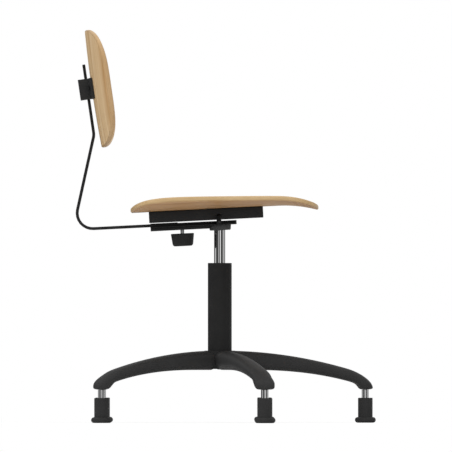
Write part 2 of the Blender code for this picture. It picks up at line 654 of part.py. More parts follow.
def build_carrier(carrier, coat, steel, casting):
    """Cone socket, plate, clamp housing and nut, guide strap and the two posts under the pan."""
    top = CONE_TOP_DIAMETER / 2
    low = CONE_BOTTOM_DIAMETER / 2
    profile = [(top, CONE_TOP)]
    profile += fillet((low, CONE_BOTTOM), (low, CONE_TOP), (0.0, CONE_BOTTOM), CONE_EDGE_RADIUS)
    cone = piece("cone_socket", turned(profile, solid=True), casting)
    reach = CONE_HEIGHT + BAR_THICKNESS
    bore = rod_shape(CYLINDER_DIAMETER / 2 + GAP, CONE_BOTTOM - reach, CONE_TOP + reach, "z", facets=FACETS)
    cut(cone, upright(bore))
    place(cone, carrier)

    half_width = POST_INNER_Y + POST_WIDTH
    plate_shape = block((-CARRIER_REAR, -half_width, PLATE_BOTTOM), (PLATE_FRONT, half_width, PLATE_TOP))
    plate = piece("carrier_plate", plate_shape, coat)
    neck_hole = NECK_DIAMETER / 2 + NECK_CLEARANCE
    cut(plate, upright(rod_shape(neck_hole, PLATE_BOTTOM - reach, reach, "z", facets=FACETS)))
    pad_hole = CLAMP_PAD_DIAMETER / 2 + GAP
    cut(plate, rod_shape(pad_hole, PLATE_BOTTOM - reach, reach, "z", (-CLAMP_REACH, 0.0), FACETS))
    place(plate, carrier)

    outer = HOUSING_WIDTH / 2
    inner = outer - HOUSING_SHEET
    channel = [(-outer, HOUSING_TOP), (-outer, HOUSING_BOTTOM), (outer, HOUSING_BOTTOM), (outer, HOUSING_TOP)]
    channel += [(inner, HOUSING_TOP), (inner, HOUSING_FLOOR), (-inner, HOUSING_FLOOR), (-inner, HOUSING_TOP)]
    housing = piece("clamp_housing", prism(channel, -CARRIER_REAR, HOUSING_LAP - top, "x"), coat)
    cut(housing, rod_shape(top + 2 * GAP, HOUSING_BOTTOM - reach, CONE_TOP + reach, "z", facets=FACETS))
    screw_hole = CLAMP_SCREW_DIAMETER / 2 + GAP
    screw_spot = (-CLAMP_REACH, 0.0)
    cut(housing, rod_shape(screw_hole, HOUSING_BOTTOM - reach, HOUSING_TOP, "z", screw_spot))
    place(housing, carrier)

    nut_low = HOUSING_FLOOR + GAP
    nut_radius = CLAMP_NUT_WIDTH / math.sqrt(3)
    nut = piece("clamp_nut", rod_shape(nut_radius, nut_low, nut_low + CLAMP_NUT_HEIGHT, "z", facets=6), steel)
    cut(nut, rod_shape(screw_hole, nut_low - reach, nut_low + reach, "z"))
    place(nut, carrier, (-CLAMP_REACH, 0.0, 0.0))

    side = POST_INNER_Y
    leg = side + STRAP_LEG
    strap_top = GAP + STRAP_SHEET
    arch = [(-leg, POST_BOTTOM), (-side, POST_BOTTOM), (-side, GAP), (side, GAP), (side, POST_BOTTOM)]
    arch += [(leg, POST_BOTTOM), (leg, strap_top), (-leg, strap_top)]
    strap_shape = prism(arch, -CARRIER_REAR, STRAP_LENGTH - CARRIER_REAR, "x")
    place(piece("guide_strap", strap_shape, coat), carrier)

    front = LEVER_OFFSET + POST_LENGTH / 2
    rear = LEVER_OFFSET - POST_LENGTH / 2
    left = block((rear, POST_INNER_Y, POST_BOTTOM), (front, POST_INNER_Y + POST_WIDTH, POST_TOP))
    place(piece("post_left", left, coat), carrier)
    slot = LEVER_ARM_WIDTH / 2 + GAP
    slot_floor = LEVER_ABOVE_BAR - POST_WIDTH / 2 * math.sin(math.radians(LEVER_TRAVEL)) - LEVER_CLEARANCE
    fork = [(rear, POST_BOTTOM), (front, POST_BOTTOM), (front, POST_TOP), (LEVER_OFFSET + slot, POST_TOP)]
    fork += [(LEVER_OFFSET + slot, slot_floor), (LEVER_OFFSET - slot, slot_floor)]
    fork += [(LEVER_OFFSET - slot, POST_TOP), (rear, POST_TOP)]
    right = piece("post_right", prism(fork, -POST_INNER_Y - POST_WIDTH, -POST_INNER_Y, "y"), coat)
    pin_hole = rod_shape(LEVER_PIN_DIAMETER / 2 + GAP, rear - reach, front + reach, "x",
                         (-POST_MIDDLE_Y, LEVER_MIDDLE))
    cut(right, pin_hole)
    place(right, carrier)


def build_clamp(carrier, steel, plastic):
    """Pad, screw and knob that press the bar up against the guide strap."""
    pad_top = BAR_BOTTOM - GAP
    pad_bottom = pad_top - CLAMP_PAD_THICKNESS
    pad_profile = [(CLAMP_PAD_DIAMETER / 2, pad_top), (CLAMP_PAD_DIAMETER / 2, pad_bottom)]
    pad = piece("clamp_pad", turned(pad_profile, solid=True), plastic)
    place(pad, carrier, (-CLAMP_REACH, 0.0, 0.0))

    screw = CLAMP_SCREW_DIAMETER / 2
    screw_profile = [(screw, pad_bottom - GAP), (screw, KNOB_TOP - CLAMP_SCREW_SUNK)]
    screw_solid = piece("clamp_screw", turned(screw_profile, solid=True, facets=SMALL_FACETS), steel)
    place(screw_solid, carrier, (-CLAMP_REACH, 0.0, 0.0))

    hole = screw + GAP
    top = KNOB_TOP_DIAMETER / 2
    low = KNOB_BOTTOM_DIAMETER / 2
    bottom = KNOB_TOP - KNOB_HEIGHT
    profile = [(hole, KNOB_TOP - CLAMP_SCREW_SUNK - GAP), (hole, KNOB_TOP)]
    profile += fillet((top, KNOB_TOP), (hole, KNOB_TOP), (low, bottom), KNOB_TOP_RADIUS)
    profile += fillet((low, bottom), (top, KNOB_TOP), (0.0, bottom), KNOB_BOTTOM_RADIUS, KNOB_BOTTOM_STEPS)
    knob = piece("clamp_knob", turned(profile, solid=True), plastic)
    place(knob, carrier, (-CLAMP_REACH, 0.0, 0.0))


def build_lever(carrier, steel, plastic):
    """A lever on a pin in the right post: lifting its grip presses the release pin."""
    pivot = frame("lever_pivot", carrier, (LEVER_OFFSET, -POST_MIDDLE_Y, LEVER_MIDDLE))
    half_width = LEVER_ARM_WIDTH / 2
    half_height = LEVER_ARM_HEIGHT / 2
    inner_end = POST_MIDDLE_Y + LEVER_INNER_REACH
    grip_outer = POST_MIDDLE_Y - GRIP_END
    grip_inner = grip_outer + GRIP_LENGTH
    outer_end = grip_inner - GRIP_SOCKET
    arm_block = block((-half_width, outer_end, -half_height), (half_width, inner_end, half_height))
    arm = piece("lever_arm", arm_block, steel)
    cut(arm, rod_shape(LEVER_PIN_DIAMETER / 2 + GAP, -POST_LENGTH, POST_LENGTH, "x"))
    place(arm, pivot)

    pin_shape = rod_shape(LEVER_PIN_DIAMETER / 2, -POST_LENGTH / 2, POST_LENGTH / 2, "x")
    place(piece("lever_pin", pin_shape, steel), pivot)

    middle = half_height - GRIP_DROP
    stations = [(grip_inner, GRIP_INNER_EDGE), (grip_inner - GRIP_INNER_EDGE, 0.0)]
    for share in GRIP_END_SHARES:
        inset = GRIP_EDGE_RADIUS * (1 - math.sqrt(1 - share ** 2))
        stations.append((grip_outer + GRIP_EDGE_RADIUS * (1 - share), inset))
    rings = []
    for y, inset in stations:
        half_x = GRIP_WIDTH / 2 - inset
        half_z = GRIP_HEIGHT / 2 - inset
        outline = rounded_rectangle(half_x, half_z, half_x - GAP, GRIP_CORNER_STEPS)
        rings.append([(x, y, middle + z) for x, z in outline])
    grip = piece("lever_grip", loft(rings), plastic)
    low = (-half_width - GAP, outer_end - GAP, -half_height - GAP)
    high = (half_width + GAP, grip_inner + GRIP_LENGTH, half_height + GAP)
    cut(grip, block(low, high))
    place(grip, pivot)


def build_pan(carrier, coat, steel):
    """An inverted steel tray under the seat, slotted for the lever, with four screws into the seat."""
    middle = PAN_FRONT - PAN_LENGTH / 2
    rings = []
    bend = PAN_SHEET / 2
    for level, inset in ((PAN_TOP, bend), (PAN_TOP - bend, 0.0), (PAN_BOTTOM, 0.0),
                         (PAN_BOTTOM, PAN_SHEET), (PAN_TOP - PAN_SHEET, PAN_SHEET)):
        outline = rounded_rectangle(PAN_LENGTH / 2 - inset, PAN_WIDTH / 2 - inset, PAN_CORNER_RADIUS - inset)
        rings.append([(middle + x, y, level) for x, y in outline])
    pan = piece("seat_pan", loft(rings), coat)

    side = PAN_WIDTH / 2
    swing = (side - POST_MIDDLE_Y) * math.sin(math.radians(LEVER_TRAVEL))
    slot = LEVER_ARM_WIDTH / 2 + 2 * LEVER_CLEARANCE
    slot_top = LEVER_TOP + swing + LEVER_CLEARANCE
    low = (LEVER_OFFSET - slot, -side - PAN_SHEET, -PAN_HEIGHT)
    cut(pan, block(low, (LEVER_OFFSET + slot, -side + 2 * PAN_SHEET, slot_top)))
    for x, y in seat_screw_spots():
        cut(pan, rod_shape(SEAT_SCREW_DIAMETER / 2 + GAP, POST_TOP - PAN_SHEET, PAN_TOP + PAN_SHEET, "z", (x, y)))
    place(pan, carrier)

    head = SEAT_SCREW_HEAD / 2
    shank = SEAT_SCREW_DIAMETER / 2
    head_low = POST_TOP - SEAT_SCREW_HEAD_HEIGHT
    profile = [(head, head_low), (head, POST_TOP), (shank, POST_TOP), (shank, SEAT_UNDERSIDE + SEAT_SCREW_DEPTH)]
    screw = None
    for number, (x, y) in enumerate(seat_screw_spots(), 1):
        name = f"seat_screw_{number}"
        if screw is None:
            screw = piece(name, turned(profile, solid=True, facets=SMALL_FACETS), steel)
            place(screw, carrier, (x, y, 0.0))
        else:
            copy_of(screw, name, carrier, (x, y, 0.0))


# Plywood shells

SEAT_MIDDLE = SEAT_FRONT - SEAT_DEPTH / 2
BACK_REAR_FACE = BRACKET_FRONT + GAP


def seat_screw_spots():
    """Where the screws pass from the pan into the seat."""
    return [(x, y) for x in (SEAT_SCREW_FRONT, -SEAT_SCREW_REAR) for y in (-SEAT_SCREW_SIDE, SEAT_SCREW_SIDE)]


def shell_shape(half_a, half_b, squareness, rear_squareness, surface):
    """A bent plywood panel: surface gives the point at a place in the outline, so far through the ply."""
    edge = PLY_EDGE_RADIUS
    inner = [(i + SHELL_MIDDLE_SHARE) / (SHELL_RINGS + SHELL_MIDDLE_SHARE) for i in range(SHELL_RINGS)]
    layers = [(share, edge, 0.0) for share in inner]
    for i in range(SHELL_EDGE_STEPS + 1):
        angle = math.pi / 2 * i / SHELL_EDGE_STEPS
        layers.append((1.0, edge * (1 - math.sin(angle)), edge * (1 - math.cos(angle))))
    layers += [(share, inset, PLY_THICKNESS - depth) for share, inset, depth in reversed(layers)]
    rings = []
    for share, inset, depth in layers:
        outline = superellipse(half_a - inset, half_b - inset, squareness, SHELL_SIDES, rear_squareness)
        rings.append([surface(a * share, b * share, depth) for a, b in outline])
    return loft(rings)


def bent_up(distance, flat, half, rise):
    """How far a panel has curved at a distance from its middle line, beyond a flat strip."""
    return rise * (max(0.0, abs(distance) - flat) / (half - flat)) ** 2


def seat_surface(a, y, depth):
    """A point of the seat; depth runs from the upper face to the lower."""
    x = SEAT_MIDDLE + a
    along = a / (SEAT_DEPTH / 2)
    tilt = (SEAT_DISH_FRONT - SEAT_DISH_REAR) / 2
    bulge = (SEAT_DISH_FRONT + SEAT_DISH_REAR) / 2 - SEAT_DISH_MIDDLE
    dish = SEAT_DISH_MIDDLE + tilt * along + bulge * along ** 2
    rolled = max(0.0, x - SEAT_ROLL_START)
    on_arc = min(rolled, SEAT_ROLL_LENGTH)
    slope = math.tan(math.radians(SEAT_ROLL_ANGLE))
    roll = slope * (on_arc ** 2 / (2 * SEAT_ROLL_LENGTH) + rolled - on_arc)
    rise = bent_up(y, PAN_WIDTH / 2, SEAT_WIDTH / 2, dish)
    return (x, y, SEAT_TOP - depth + rise - roll)


def back_curve(y):
    """How far the backrest has come forward at a distance from its middle line."""
    return BACK_SAGITTA * (y / (BACK_WIDTH / 2)) ** 2


def back_surface(y, z, depth):
    """A point of the backrest; depth runs from the rear face to the front."""
    bow = BACK_BOW * (z / (BACK_HEIGHT / 2)) ** 2
    return (BACK_REAR_FACE + bow + back_curve(y) + depth, y, z - BACK_DROP)


def build_seat(carrier, plywood):
    """The dished seat with its front edge rolled down."""
    shape = shell_shape(SEAT_DEPTH / 2, SEAT_WIDTH / 2, SEAT_FRONT_SQUARENESS, SEAT_REAR_SQUARENESS, seat_surface)
    seat = piece("seat_shell", shape, plywood)
    hole_top = SEAT_UNDERSIDE + SEAT_SCREW_DEPTH + GAP
    for x, y in seat_screw_spots():
        cut(seat, rod_shape(SEAT_SCREW_DIAMETER / 2 + GAP, POST_TOP, hole_top, "z", (x, y)))
    place(seat, carrier)


# Back bar and backrest

def heading(angle):
    """Unit vector in the carrier's upright plane."""
    return Vector((math.cos(angle), math.sin(angle)))


def bar_corners():
    """Middle line of the bar before it is bent: front end, lower bend, upper bend and top end."""
    front = Vector((BAR_FRONT, -BAR_THICKNESS / 2))
    lower = Vector((-BAR_REAR, -BAR_THICKNESS / 2))
    upper = lower + heading(UPRIGHT_SLOPE) * BAR_UPRIGHT
    top = upper + heading(math.radians(90.0 + BACK_LEAN - CARRIER_TILT)) * BAR_TOP
    return front, lower, upper, top


def bent_side(corners, radii, offset, steps=BEND_STEPS):
    """One face of a bent strip: its middle line moved sideways, with an arc at each bend."""
    front, lower, upper, top = corners
    points = []
    path = ((front, lower, upper, radii[0]), (lower, upper, top, radii[1]))

    def moved(point, direction):
        return point + Vector((-direction.y, direction.x)) * offset

    points.append(moved(front, (lower - front).normalized()))
    for before, corner, after, radius in path:
        arriving = (corner - before).normalized()
        leaving = (after - corner).normalized()
        turn = math.atan2(arriving.x * leaving.y - arriving.y * leaving.x, arriving.dot(leaving))
        start = corner - arriving * radius * math.tan(abs(turn) / 2)
        side = math.copysign(1.0, turn)
        centre = start + Vector((-arriving.y, arriving.x)) * radius * side
        base = math.atan2(arriving.y, arriving.x)
        for i in range(steps + 1):
            direction = heading(base + turn * i / steps)
            normal = Vector((-direction.y, direction.x))
            points.append(centre + normal * (offset - radius * side))
    points.append(moved(top, (top - upper).normalized()))
    return [tuple(point) for point in points]


def build_bar(carrier, coat):
    """The bent flat bar, forked at the front round the cylinder's neck."""
    corners = bar_corners()
    radii = (BAR_LOWER_BEND, BAR_UPPER_BEND)
    outline = bent_side(corners, radii, BAR_THICKNESS / 2)
    outline += reversed(bent_side(corners, radii, -BAR_THICKNESS / 2))
    bar = piece("back_bar", prism(outline, -BAR_WIDTH / 2, BAR_WIDTH / 2, "y"), coat)
    half_slot = BAR_SLOT_WIDTH / 2
    low = (-BAR_SLOT_REAR, -half_slot, -2 * BAR_THICKNESS)
    cut(bar, block(low, (BAR_FRONT + BAR_WIDTH, half_slot, BAR_THICKNESS)))
    place(bar, carrier)


def flange_rear(y):
    """Rear face of the bracket's flange, which follows the backrest."""
    return BRACKET_FRONT - FLANGE_THICKNESS + back_curve(y)


def bracket_outline():
    """Plan of the bracket: a box round the bar and a curved flange behind the backrest."""
    box = BRACKET_WIDTH / 2
    wing = FLANGE_WIDTH / 2
    places = [wing * (2 * i / FLANGE_STEPS - 1) for i in range(FLANGE_STEPS + 1)]
    front = [(BRACKET_FRONT + back_curve(y), y) for y in places]
    left = [(flange_rear(y), y) for y in reversed(places) if y > box] + [(flange_rear(box), box)]
    left += fillet((-BRACKET_REAR, box), (0.0, box), (-BRACKET_REAR, 0.0), BRACKET_EDGE_RADIUS)
    right = [(x, -y) for x, y in reversed(left)]
    return front + left + right


def build_backrest(carrier, plastic, plywood, coat):
    """Bracket and liner on the bar, and the shell that two screws hold to the bracket's flange."""
    upper, top = bar_corners()[2:]
    spot = top - (top - upper).normalized() * BRACKET_BELOW_TOP
    turn = math.radians(CARRIER_TILT - BACK_LEAN)
    back = frame("back_slide", carrier, (spot.x, 0.0, spot.y), turn)

    liner_in = (BAR_THICKNESS / 2 + GAP, BAR_WIDTH / 2 + GAP)
    liner_out = (liner_in[0] + LINER_WALL, liner_in[1] + LINER_WALL)
    half = BRACKET_HEIGHT / 2
    liner = piece("bracket_liner", block((-liner_out[0], -liner_out[1], -half), (*liner_out, half)), plastic)
    cut(liner, block((-liner_in[0], -liner_in[1], -BRACKET_HEIGHT), (*liner_in, BRACKET_HEIGHT)))
    place(liner, back)

    bracket = piece("back_bracket", prism(bracket_outline(), -half, half, "z"), plastic)
    mouth = (liner_out[0] + GAP, liner_out[1] + GAP)
    cut(bracket, block((-mouth[0], -mouth[1], -BRACKET_HEIGHT), (*mouth, BRACKET_HEIGHT)))

    shape = shell_shape(BACK_WIDTH / 2, BACK_HEIGHT / 2, BACK_SQUARENESS, BACK_SQUARENESS, back_surface)
    shell = piece("backrest_shell", shape, plywood)
    shank = BACK_SCREW_DIAMETER / 2
    head = BACK_SCREW_HEAD / 2
    seat = flange_rear(BACK_SCREW_SIDE - head) - GAP
    tip = BACK_REAR_FACE + back_curve(BACK_SCREW_SIDE) + BACK_SCREW_DEPTH
    for y in (-BACK_SCREW_SIDE, BACK_SCREW_SIDE):
        hole = (shank + GAP, seat - FLANGE_THICKNESS, tip + GAP, "x", (y, 0.0))
        cut(bracket, rod_shape(*hole))
        cut(shell, rod_shape(*hole))
    place(bracket, back)
    place(shell, back)

    profile = [(shank, tip), (shank, seat), (head, seat), (head, seat - BACK_SCREW_HEAD_HEIGHT)]
    shape = turned(profile, solid=True, facets=SMALL_FACETS)
    bmesh.ops.rotate(shape, verts=shape.verts, matrix=Matrix.Rotation(math.pi / 2, 3, "Y"))
    screw = piece("back_screw_1", shape, coat)
    place(screw, back, (0.0, -BACK_SCREW_SIDE, 0.0))
    copy_of(screw, "back_screw_2", back, (0.0, BACK_SCREW_SIDE, 0.0))


def main():
    for old in list(bpy.data.objects):
        bpy.data.objects.remove(old)

    coat = finish("black_powder_coat", (0.028, 0.028, 0.029), 0.45)
    casting = finish("dark_grey_casting", (0.035, 0.035, 0.036), 0.5)
    plastic = finish("black_plastic", (0.030, 0.030, 0.031), 0.55)
    rubber = finish("rubber", (0.020, 0.020, 0.020), 0.8)
    chrome = finish("chrome", (0.62, 0.62, 0.63), 0.12, 1.0)
    steel = finish("bright_steel", (0.45, 0.45, 0.45), 0.35, 1.0)
    plywood = finish("beech_plywood", (0.53, 0.36, 0.20), 0.5)

    column = frame("column_axis", None, (COLUMN_X, 0.0, 0.0))
    bearing_top = build_base(column, coat, steel, plastic)
    build_glides(column, plastic, chrome)
    build_rod(column, bearing_top, chrome, steel, rubber)
    build_cylinder(column, chrome, steel)

    carrier = frame("seat_carrier", column, (0.0, 0.0, CARRIER_Z), -TILT)
    build_carrier(carrier, coat, steel, casting)
    build_clamp(carrier, steel, plastic)
    build_lever(carrier, steel, plastic)
    build_pan(carrier, coat, steel)
    build_seat(carrier, plywood)
    build_bar(carrier, coat)
    build_backrest(carrier, plastic, plywood, coat)


main()
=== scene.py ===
"""Looks of a swivel chair: plywood shells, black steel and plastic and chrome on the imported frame.

Lengths are metres and angles are degrees. The carrier's frame has its origin on the seat's upper face over
the column, x along the back bar and z square to the seat. The back's frame lies on the bar in the middle of
the bracket.
"""

import json
import math

import bmesh
import bpy
from mathutils import Matrix, Vector

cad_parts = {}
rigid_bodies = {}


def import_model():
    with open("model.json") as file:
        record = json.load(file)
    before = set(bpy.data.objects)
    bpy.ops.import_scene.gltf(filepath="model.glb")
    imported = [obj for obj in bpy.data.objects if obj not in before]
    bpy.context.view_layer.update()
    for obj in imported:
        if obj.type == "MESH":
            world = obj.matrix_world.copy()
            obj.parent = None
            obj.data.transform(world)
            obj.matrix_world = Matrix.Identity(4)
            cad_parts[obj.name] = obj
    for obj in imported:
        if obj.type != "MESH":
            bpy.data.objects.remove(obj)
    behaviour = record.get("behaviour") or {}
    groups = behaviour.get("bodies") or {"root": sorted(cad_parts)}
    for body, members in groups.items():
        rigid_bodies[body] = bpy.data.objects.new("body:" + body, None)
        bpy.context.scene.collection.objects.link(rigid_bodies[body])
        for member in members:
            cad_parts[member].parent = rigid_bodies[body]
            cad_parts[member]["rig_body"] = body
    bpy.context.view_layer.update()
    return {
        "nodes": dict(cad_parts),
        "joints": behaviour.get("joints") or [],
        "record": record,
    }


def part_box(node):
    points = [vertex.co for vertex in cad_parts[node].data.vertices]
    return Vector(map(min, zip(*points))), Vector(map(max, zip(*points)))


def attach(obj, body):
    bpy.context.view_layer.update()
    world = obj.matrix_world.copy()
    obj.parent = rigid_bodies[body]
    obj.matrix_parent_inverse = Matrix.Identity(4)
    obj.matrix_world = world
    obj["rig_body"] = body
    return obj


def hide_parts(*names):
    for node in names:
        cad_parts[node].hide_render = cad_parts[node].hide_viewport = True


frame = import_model()

# Camera: the scale is metres a pixel, places in the photograph are pixels, lens and sensor are millimetres
SCALE = 0.002094
PHOTO_SIZE = 452
PHOTO_COLUMN = 219.8
PHOTO_FLOOR = 422.67
CAMERA_LENS = 1600.0
CAMERA_SENSOR = 36.0
CAMERA_HEIGHT = 0.150
CAMERA_NEAR = 1.0

# World: levels are shares of white, and the sky starts and ends at the sine of a height above the horizon
WHITE = (1.0, 1.0, 1.0)
AMBIENT = 0.49
SKY_GLOSS = 0.90
SKY_START = 0.1
SKY_END = 0.5

# Light strips: where each shows on a chrome cylinder, from -1 to 1 across it, and its level
LIGHT_STRIPS = ((-0.73, 0.66), (-0.21, 0.46), (0.10, 0.92), (0.61, 0.64), (0.93, 0.80))
STRIP_WIDTH = 0.17
STRIP_GROUND = 0.05
STRIP_BLEND = 0.002

# Lamps: name, place, the point that it looks at, width and watts
LAMPS = (
    ("overhead", (0.2, -0.3, 3.1), (0.0, 0.0, 0.4), 3.0, 65.0),
    ("behind", (-3.0, -1.2, 1.4), (0.0, 0.0, 0.5), 2.0, 42.0),
    ("beside", (0.4, -3.2, 0.5), (0.0, 0.0, 0.4), 1.0, 42.0),
)

# Floor
FLOOR_RADIUS = 1.2
FLOOR_SIDES = 128
FLOOR_DROP = 0.0002
FLOOR_SEEN = 0.95
FLOOR_CLOUD = 0.02
FLOOR_CLOUD_SCALE = 3.0
FLOOR_BOUNCE = 0.80
FLOOR_WHITE = 0.85
FLOOR_ROUGHNESS = 0.9
FLOOR_FADE_START = 0.55
FLOOR_FADE_END = 1.15

# Plywood
PLY_THICKNESS = 0.0095
PLY_EDGE_RADIUS = 0.0030
SHELL_SIDES = 192
SHELL_RINGS = 26
EDGE_STEPS = 5

# Colours of the grain from dark to light, and the tones where they lie
SEAT_GRAIN = ((0.380, 0.222, 0.088), (0.465, 0.300, 0.140), (0.515, 0.352, 0.178), (0.590, 0.430, 0.250))
BACK_GRAIN = ((0.430, 0.255, 0.105), (0.540, 0.362, 0.185), (0.610, 0.436, 0.246), (0.680, 0.520, 0.335))
GRAIN_PLACES = (0.40, 0.46, 0.52, 0.60)
# Painted shade: a darker, browner multiplier on the seat's underside, for the shade under the seat
SEAT_UNDERSIDE_PAINTED_SHADE = (0.80, 0.66, 0.54)

# Figure of the wood: cells a metre along the grain, across it and through the veneers, and where they start
DRIFT_SCALE = (2.2, 5.0, 9.0)
RIPPLE_SCALE = (9.0, 16.0, 20.0)
RIPPLE_START = (1.7, 0.3, 0.0)
BROAD_SCALE = (1.5, 36.0, 26.0)
MEDIUM_SCALE = (5.0, 210.0, 120.0)
FINE_SCALE = (26.0, 1500.0, 900.0)
FLECK_SCALE = (150.0, 1300.0, 900.0)
FLECK_START = (3.0, 7.0, 1.0)

# How far the grain wanders across, and what each size of figure and the flecks add to the tone
DRIFT = 0.060
RIPPLE = 0.016
BROAD_WEIGHT = 0.65
BROAD_ROUGHNESS = 0.68
MEDIUM_WEIGHT = 0.25
FINE_WEIGHT = 0.10
FLECK_COLOUR = (0.330, 0.190, 0.085)
FLECK_GAIN = 5.0
FLECK_CUT = 2.9
FLECK_SHARE = 0.35
FLECK_PIT = 0.6

# Darker streaks along both sides of the back: distance from its middle, half width, tint and strength
STREAK_PLACE = 0.180
STREAK_WIDTH = 0.032
STREAK_TINT = (0.70, 0.54, 0.37)
STREAK_STRENGTH = 1.7

# Veneers seen on edge: their light and dark colours, and how dark each is from the first face to the second
SEAT_EDGE_COLOURS = ((0.440, 0.312, 0.164), (0.290, 0.165, 0.070))
BACK_EDGE_COLOURS = ((0.385, 0.262, 0.140), (0.250, 0.135, 0.050))
SEAT_EDGE = (0.0, 0.25, 0.05, 0.35, 0.0, 0.30, 0.60)
BACK_EDGE = (0.40, 0.40, 0.05, 0.30, 0.0, 0.25, 0.0)
EDGE_FACE_SHARE = 0.015
EDGE_GRAIN_SHARE = 0.45
PATCH_SCALE = (9.0, 9.0, 0.0)
PATCH_START = (0.4, 0.0, 0.0)
PATCH_GAIN = 2.6
PATCH_CUT = 0.55

# Lacquer on the plywood
LACQUER_ROUGHNESS = 0.38
LACQUER_SPREAD = 0.16
LACQUER_SPECULAR = 0.20
LACQUER_BUMP = 0.10
LACQUER_BUMP_DEPTH = 0.0003

# Black finishes: dark and light grey, roughness, specular level, specks a metre and depth of the pebbles
BLACK_FINISHES = {
    "black_powder_coat": (0.012, 0.0175, 0.55, 0.10, 850.0, 0.0002),
    "dark_grey_casting": (0.037, 0.060, 0.55, 0.14, 600.0, 0.0003),
    "black_plastic": (0.018, 0.027, 0.55, 0.12, 1500.0, 0.0001),
    "rubber": (0.010, 0.016, 0.75, 0.12, 700.0, 0.0002),
    # The arms' coat is the black powder coat painted lighter: painted light for their lit upper faces
    "arm_coat": (0.021, 0.029, 0.55, 0.10, 850.0, 0.0002),
    "knob_plastic": (0.0135, 0.0200, 0.55, 0.12, 1500.0, 0.0001),
    # The grip's plastic is the black plastic painted much darker: painted shade for where the grip sits
    "grip_plastic": (0.0035, 0.0060, 0.60, 0.08, 1500.0, 0.0001),
}
BLACK_CLOUD_SCALE = 24.0
BLACK_SPECK_WEIGHT = 0.4
BLACK_TONES = (0.32, 0.68)
BLACK_SPREAD = 0.14
BLACK_BUMP = 0.12

# Metals: dark and light grey, roughness, its spread, and lines of the drawn grain a metre by axis
METALS = {
    "chrome": (0.74, 0.80, 0.035, 0.02, (60.0, 60.0, 8.0)),
    "bright_steel": (0.46, 0.62, 0.16, 0.08, (300.0, 300.0, 900.0)),
}
METAL_CLOUD_SCALE = 30.0
METAL_LINE_WEIGHT = 0.5
METAL_TONES = (0.3, 0.7)

# Seat
SEAT_DEPTH = 0.3927
SEAT_WIDTH = 0.4000
SEAT_FRONT = 0.2074
SEAT_FRONT_SQUARENESS = 6.0
SEAT_REAR_SQUARENESS = 4.75
SEAT_DISH_FRONT = 0.0053
SEAT_DISH_MIDDLE = 0.0147
SEAT_DISH_REAR = 0.0212
SEAT_FLAT = 0.0750
SEAT_ROLL_START = 0.1262
SEAT_ROLL_LENGTH = 0.0790
SEAT_ROLL_ANGLE = 17.5

# Backrest
BACK_HEIGHT = 0.2474
BACK_WIDTH = 0.3900
BACK_SQUARENESS = 3.38
BACK_SAGITTA = 0.0320
BACK_BOW = 0.0030

# Arms of the base
ARM_COUNT = 5
ARM_TIP_HALF_WIDTH = 0.02065
ARM_ROOT_HALF_WIDTH = 0.0206
ARM_END_DEPTH = 0.0253
ARM_TIP_DEPTH = 0.0318
ARM_LEVEL_REACH = 0.0600
ARM_TOP_POWER = 2.06
ARM_UNDERSIDE_POWER = 2.34
ARM_NOSE_LENGTH = 0.0541
ARM_NOSE_REACH = 0.0157
ARM_NOSE_HEIGHT = 0.0036
ARM_FOOT_RADIUS = 0.0167
ARM_FOOT_SHARPNESS = 6.8
ARM_FOOT_SPREAD = 2.2
ARM_FOOT_POWER = 1.12
ARM_FOOT_ROUNDNESS = 5.2
ARM_FOOT_REACH = 0.0300
ARM_ROUNDNESS = 2.3
ARM_TUBE_GAP = 0.0003
ARM_SIDES = 48
ARM_STATIONS = 48
FOOT_STATIONS = 30
NOSE_STATIONS = 12
NOSE_LAST_STEP = 0.3

# Hub
HUB_RISE = 0.0407
HUB_TOP_EDGE = 0.0060
HUB_LOW_EDGE = 0.0030
HUB_BORE_EDGE = 0.0005

# Column tube and guide bush
TUBE_WALL = 0.0020
TUBE_FLOOR = 0.0030
TUBE_ROD_HOLE = 0.0053
TUBE_TOP_EDGE = 0.0012
TUBE_LOW_EDGE = 0.0008
TUBE_BORE_EDGE = 0.0004
BUSH_CLEARANCE = 0.0003
BUSH_EDGE = 0.0004
BUSH_BORE_EDGE = 0.0006

# Glides and their stems
GLIDE_RADIUS = 0.0153
GLIDE_FLANGE_RADIUS = 0.02188
GLIDE_FLANGE_HEIGHT = 0.0118
GLIDE_SOLE_RADIUS = 0.0150
GLIDE_HOLLOW_INSET = 0.0010
GLIDE_HOLLOW_DEPTH = 0.0008
GLIDE_MOUTH_EDGE = 0.0006
GLIDE_TOP_EDGE = 0.0018
GLIDE_WAIST_EDGE = 0.0014
GLIDE_CLEARANCE = 0.0003
GLIDE_SIDES = 80
FLANGE_STEPS = 12
STEM_COLLAR_RADIUS = 0.0075
STEM_PIN_RADIUS = 0.0040
STEM_TIP_RADIUS = 0.0005
STEM_FOOT_EDGE = 0.0004
STEM_SHOULDER_EDGE = 0.0005
STEM_ROOT_EDGE = 0.0002
STEM_PIN_EDGE = 0.0008
STEM_SIDES = 64

# Cylinder of the gas spring
CYLINDER_WALL = 0.0020
CYLINDER_ROOF = 0.0030
CYLINDER_PIN_HOLE = 0.0033
CYLINDER_NECK_RADIUS = 0.0080
CYLINDER_NECK_EDGE = 0.0006
CYLINDER_SHOULDER_EDGE = 0.0010
CYLINDER_LOW_EDGE = 0.0008
CYLINDER_BORE_EDGE = 0.0003

# Radii of the eased edges of plates, bars and blocks
EASED_EDGES = {
    "carrier_plate": 0.0004,
    "clamp_housing": 0.0006,
    "guide_strap": 0.0002,
    "post_left": 0.0005,
    "post_right": 0.0004,
    "seat_pan": 0.0004,
    "clamp_nut": 0.0003,
    "lever_arm": 0.0005,
    "back_bracket": 0.0008,
    "bracket_liner": 0.0002,
    "back_bar": 0.0007,
}
EASE_SEGMENTS = 2
EASE_PROFILE = 0.5

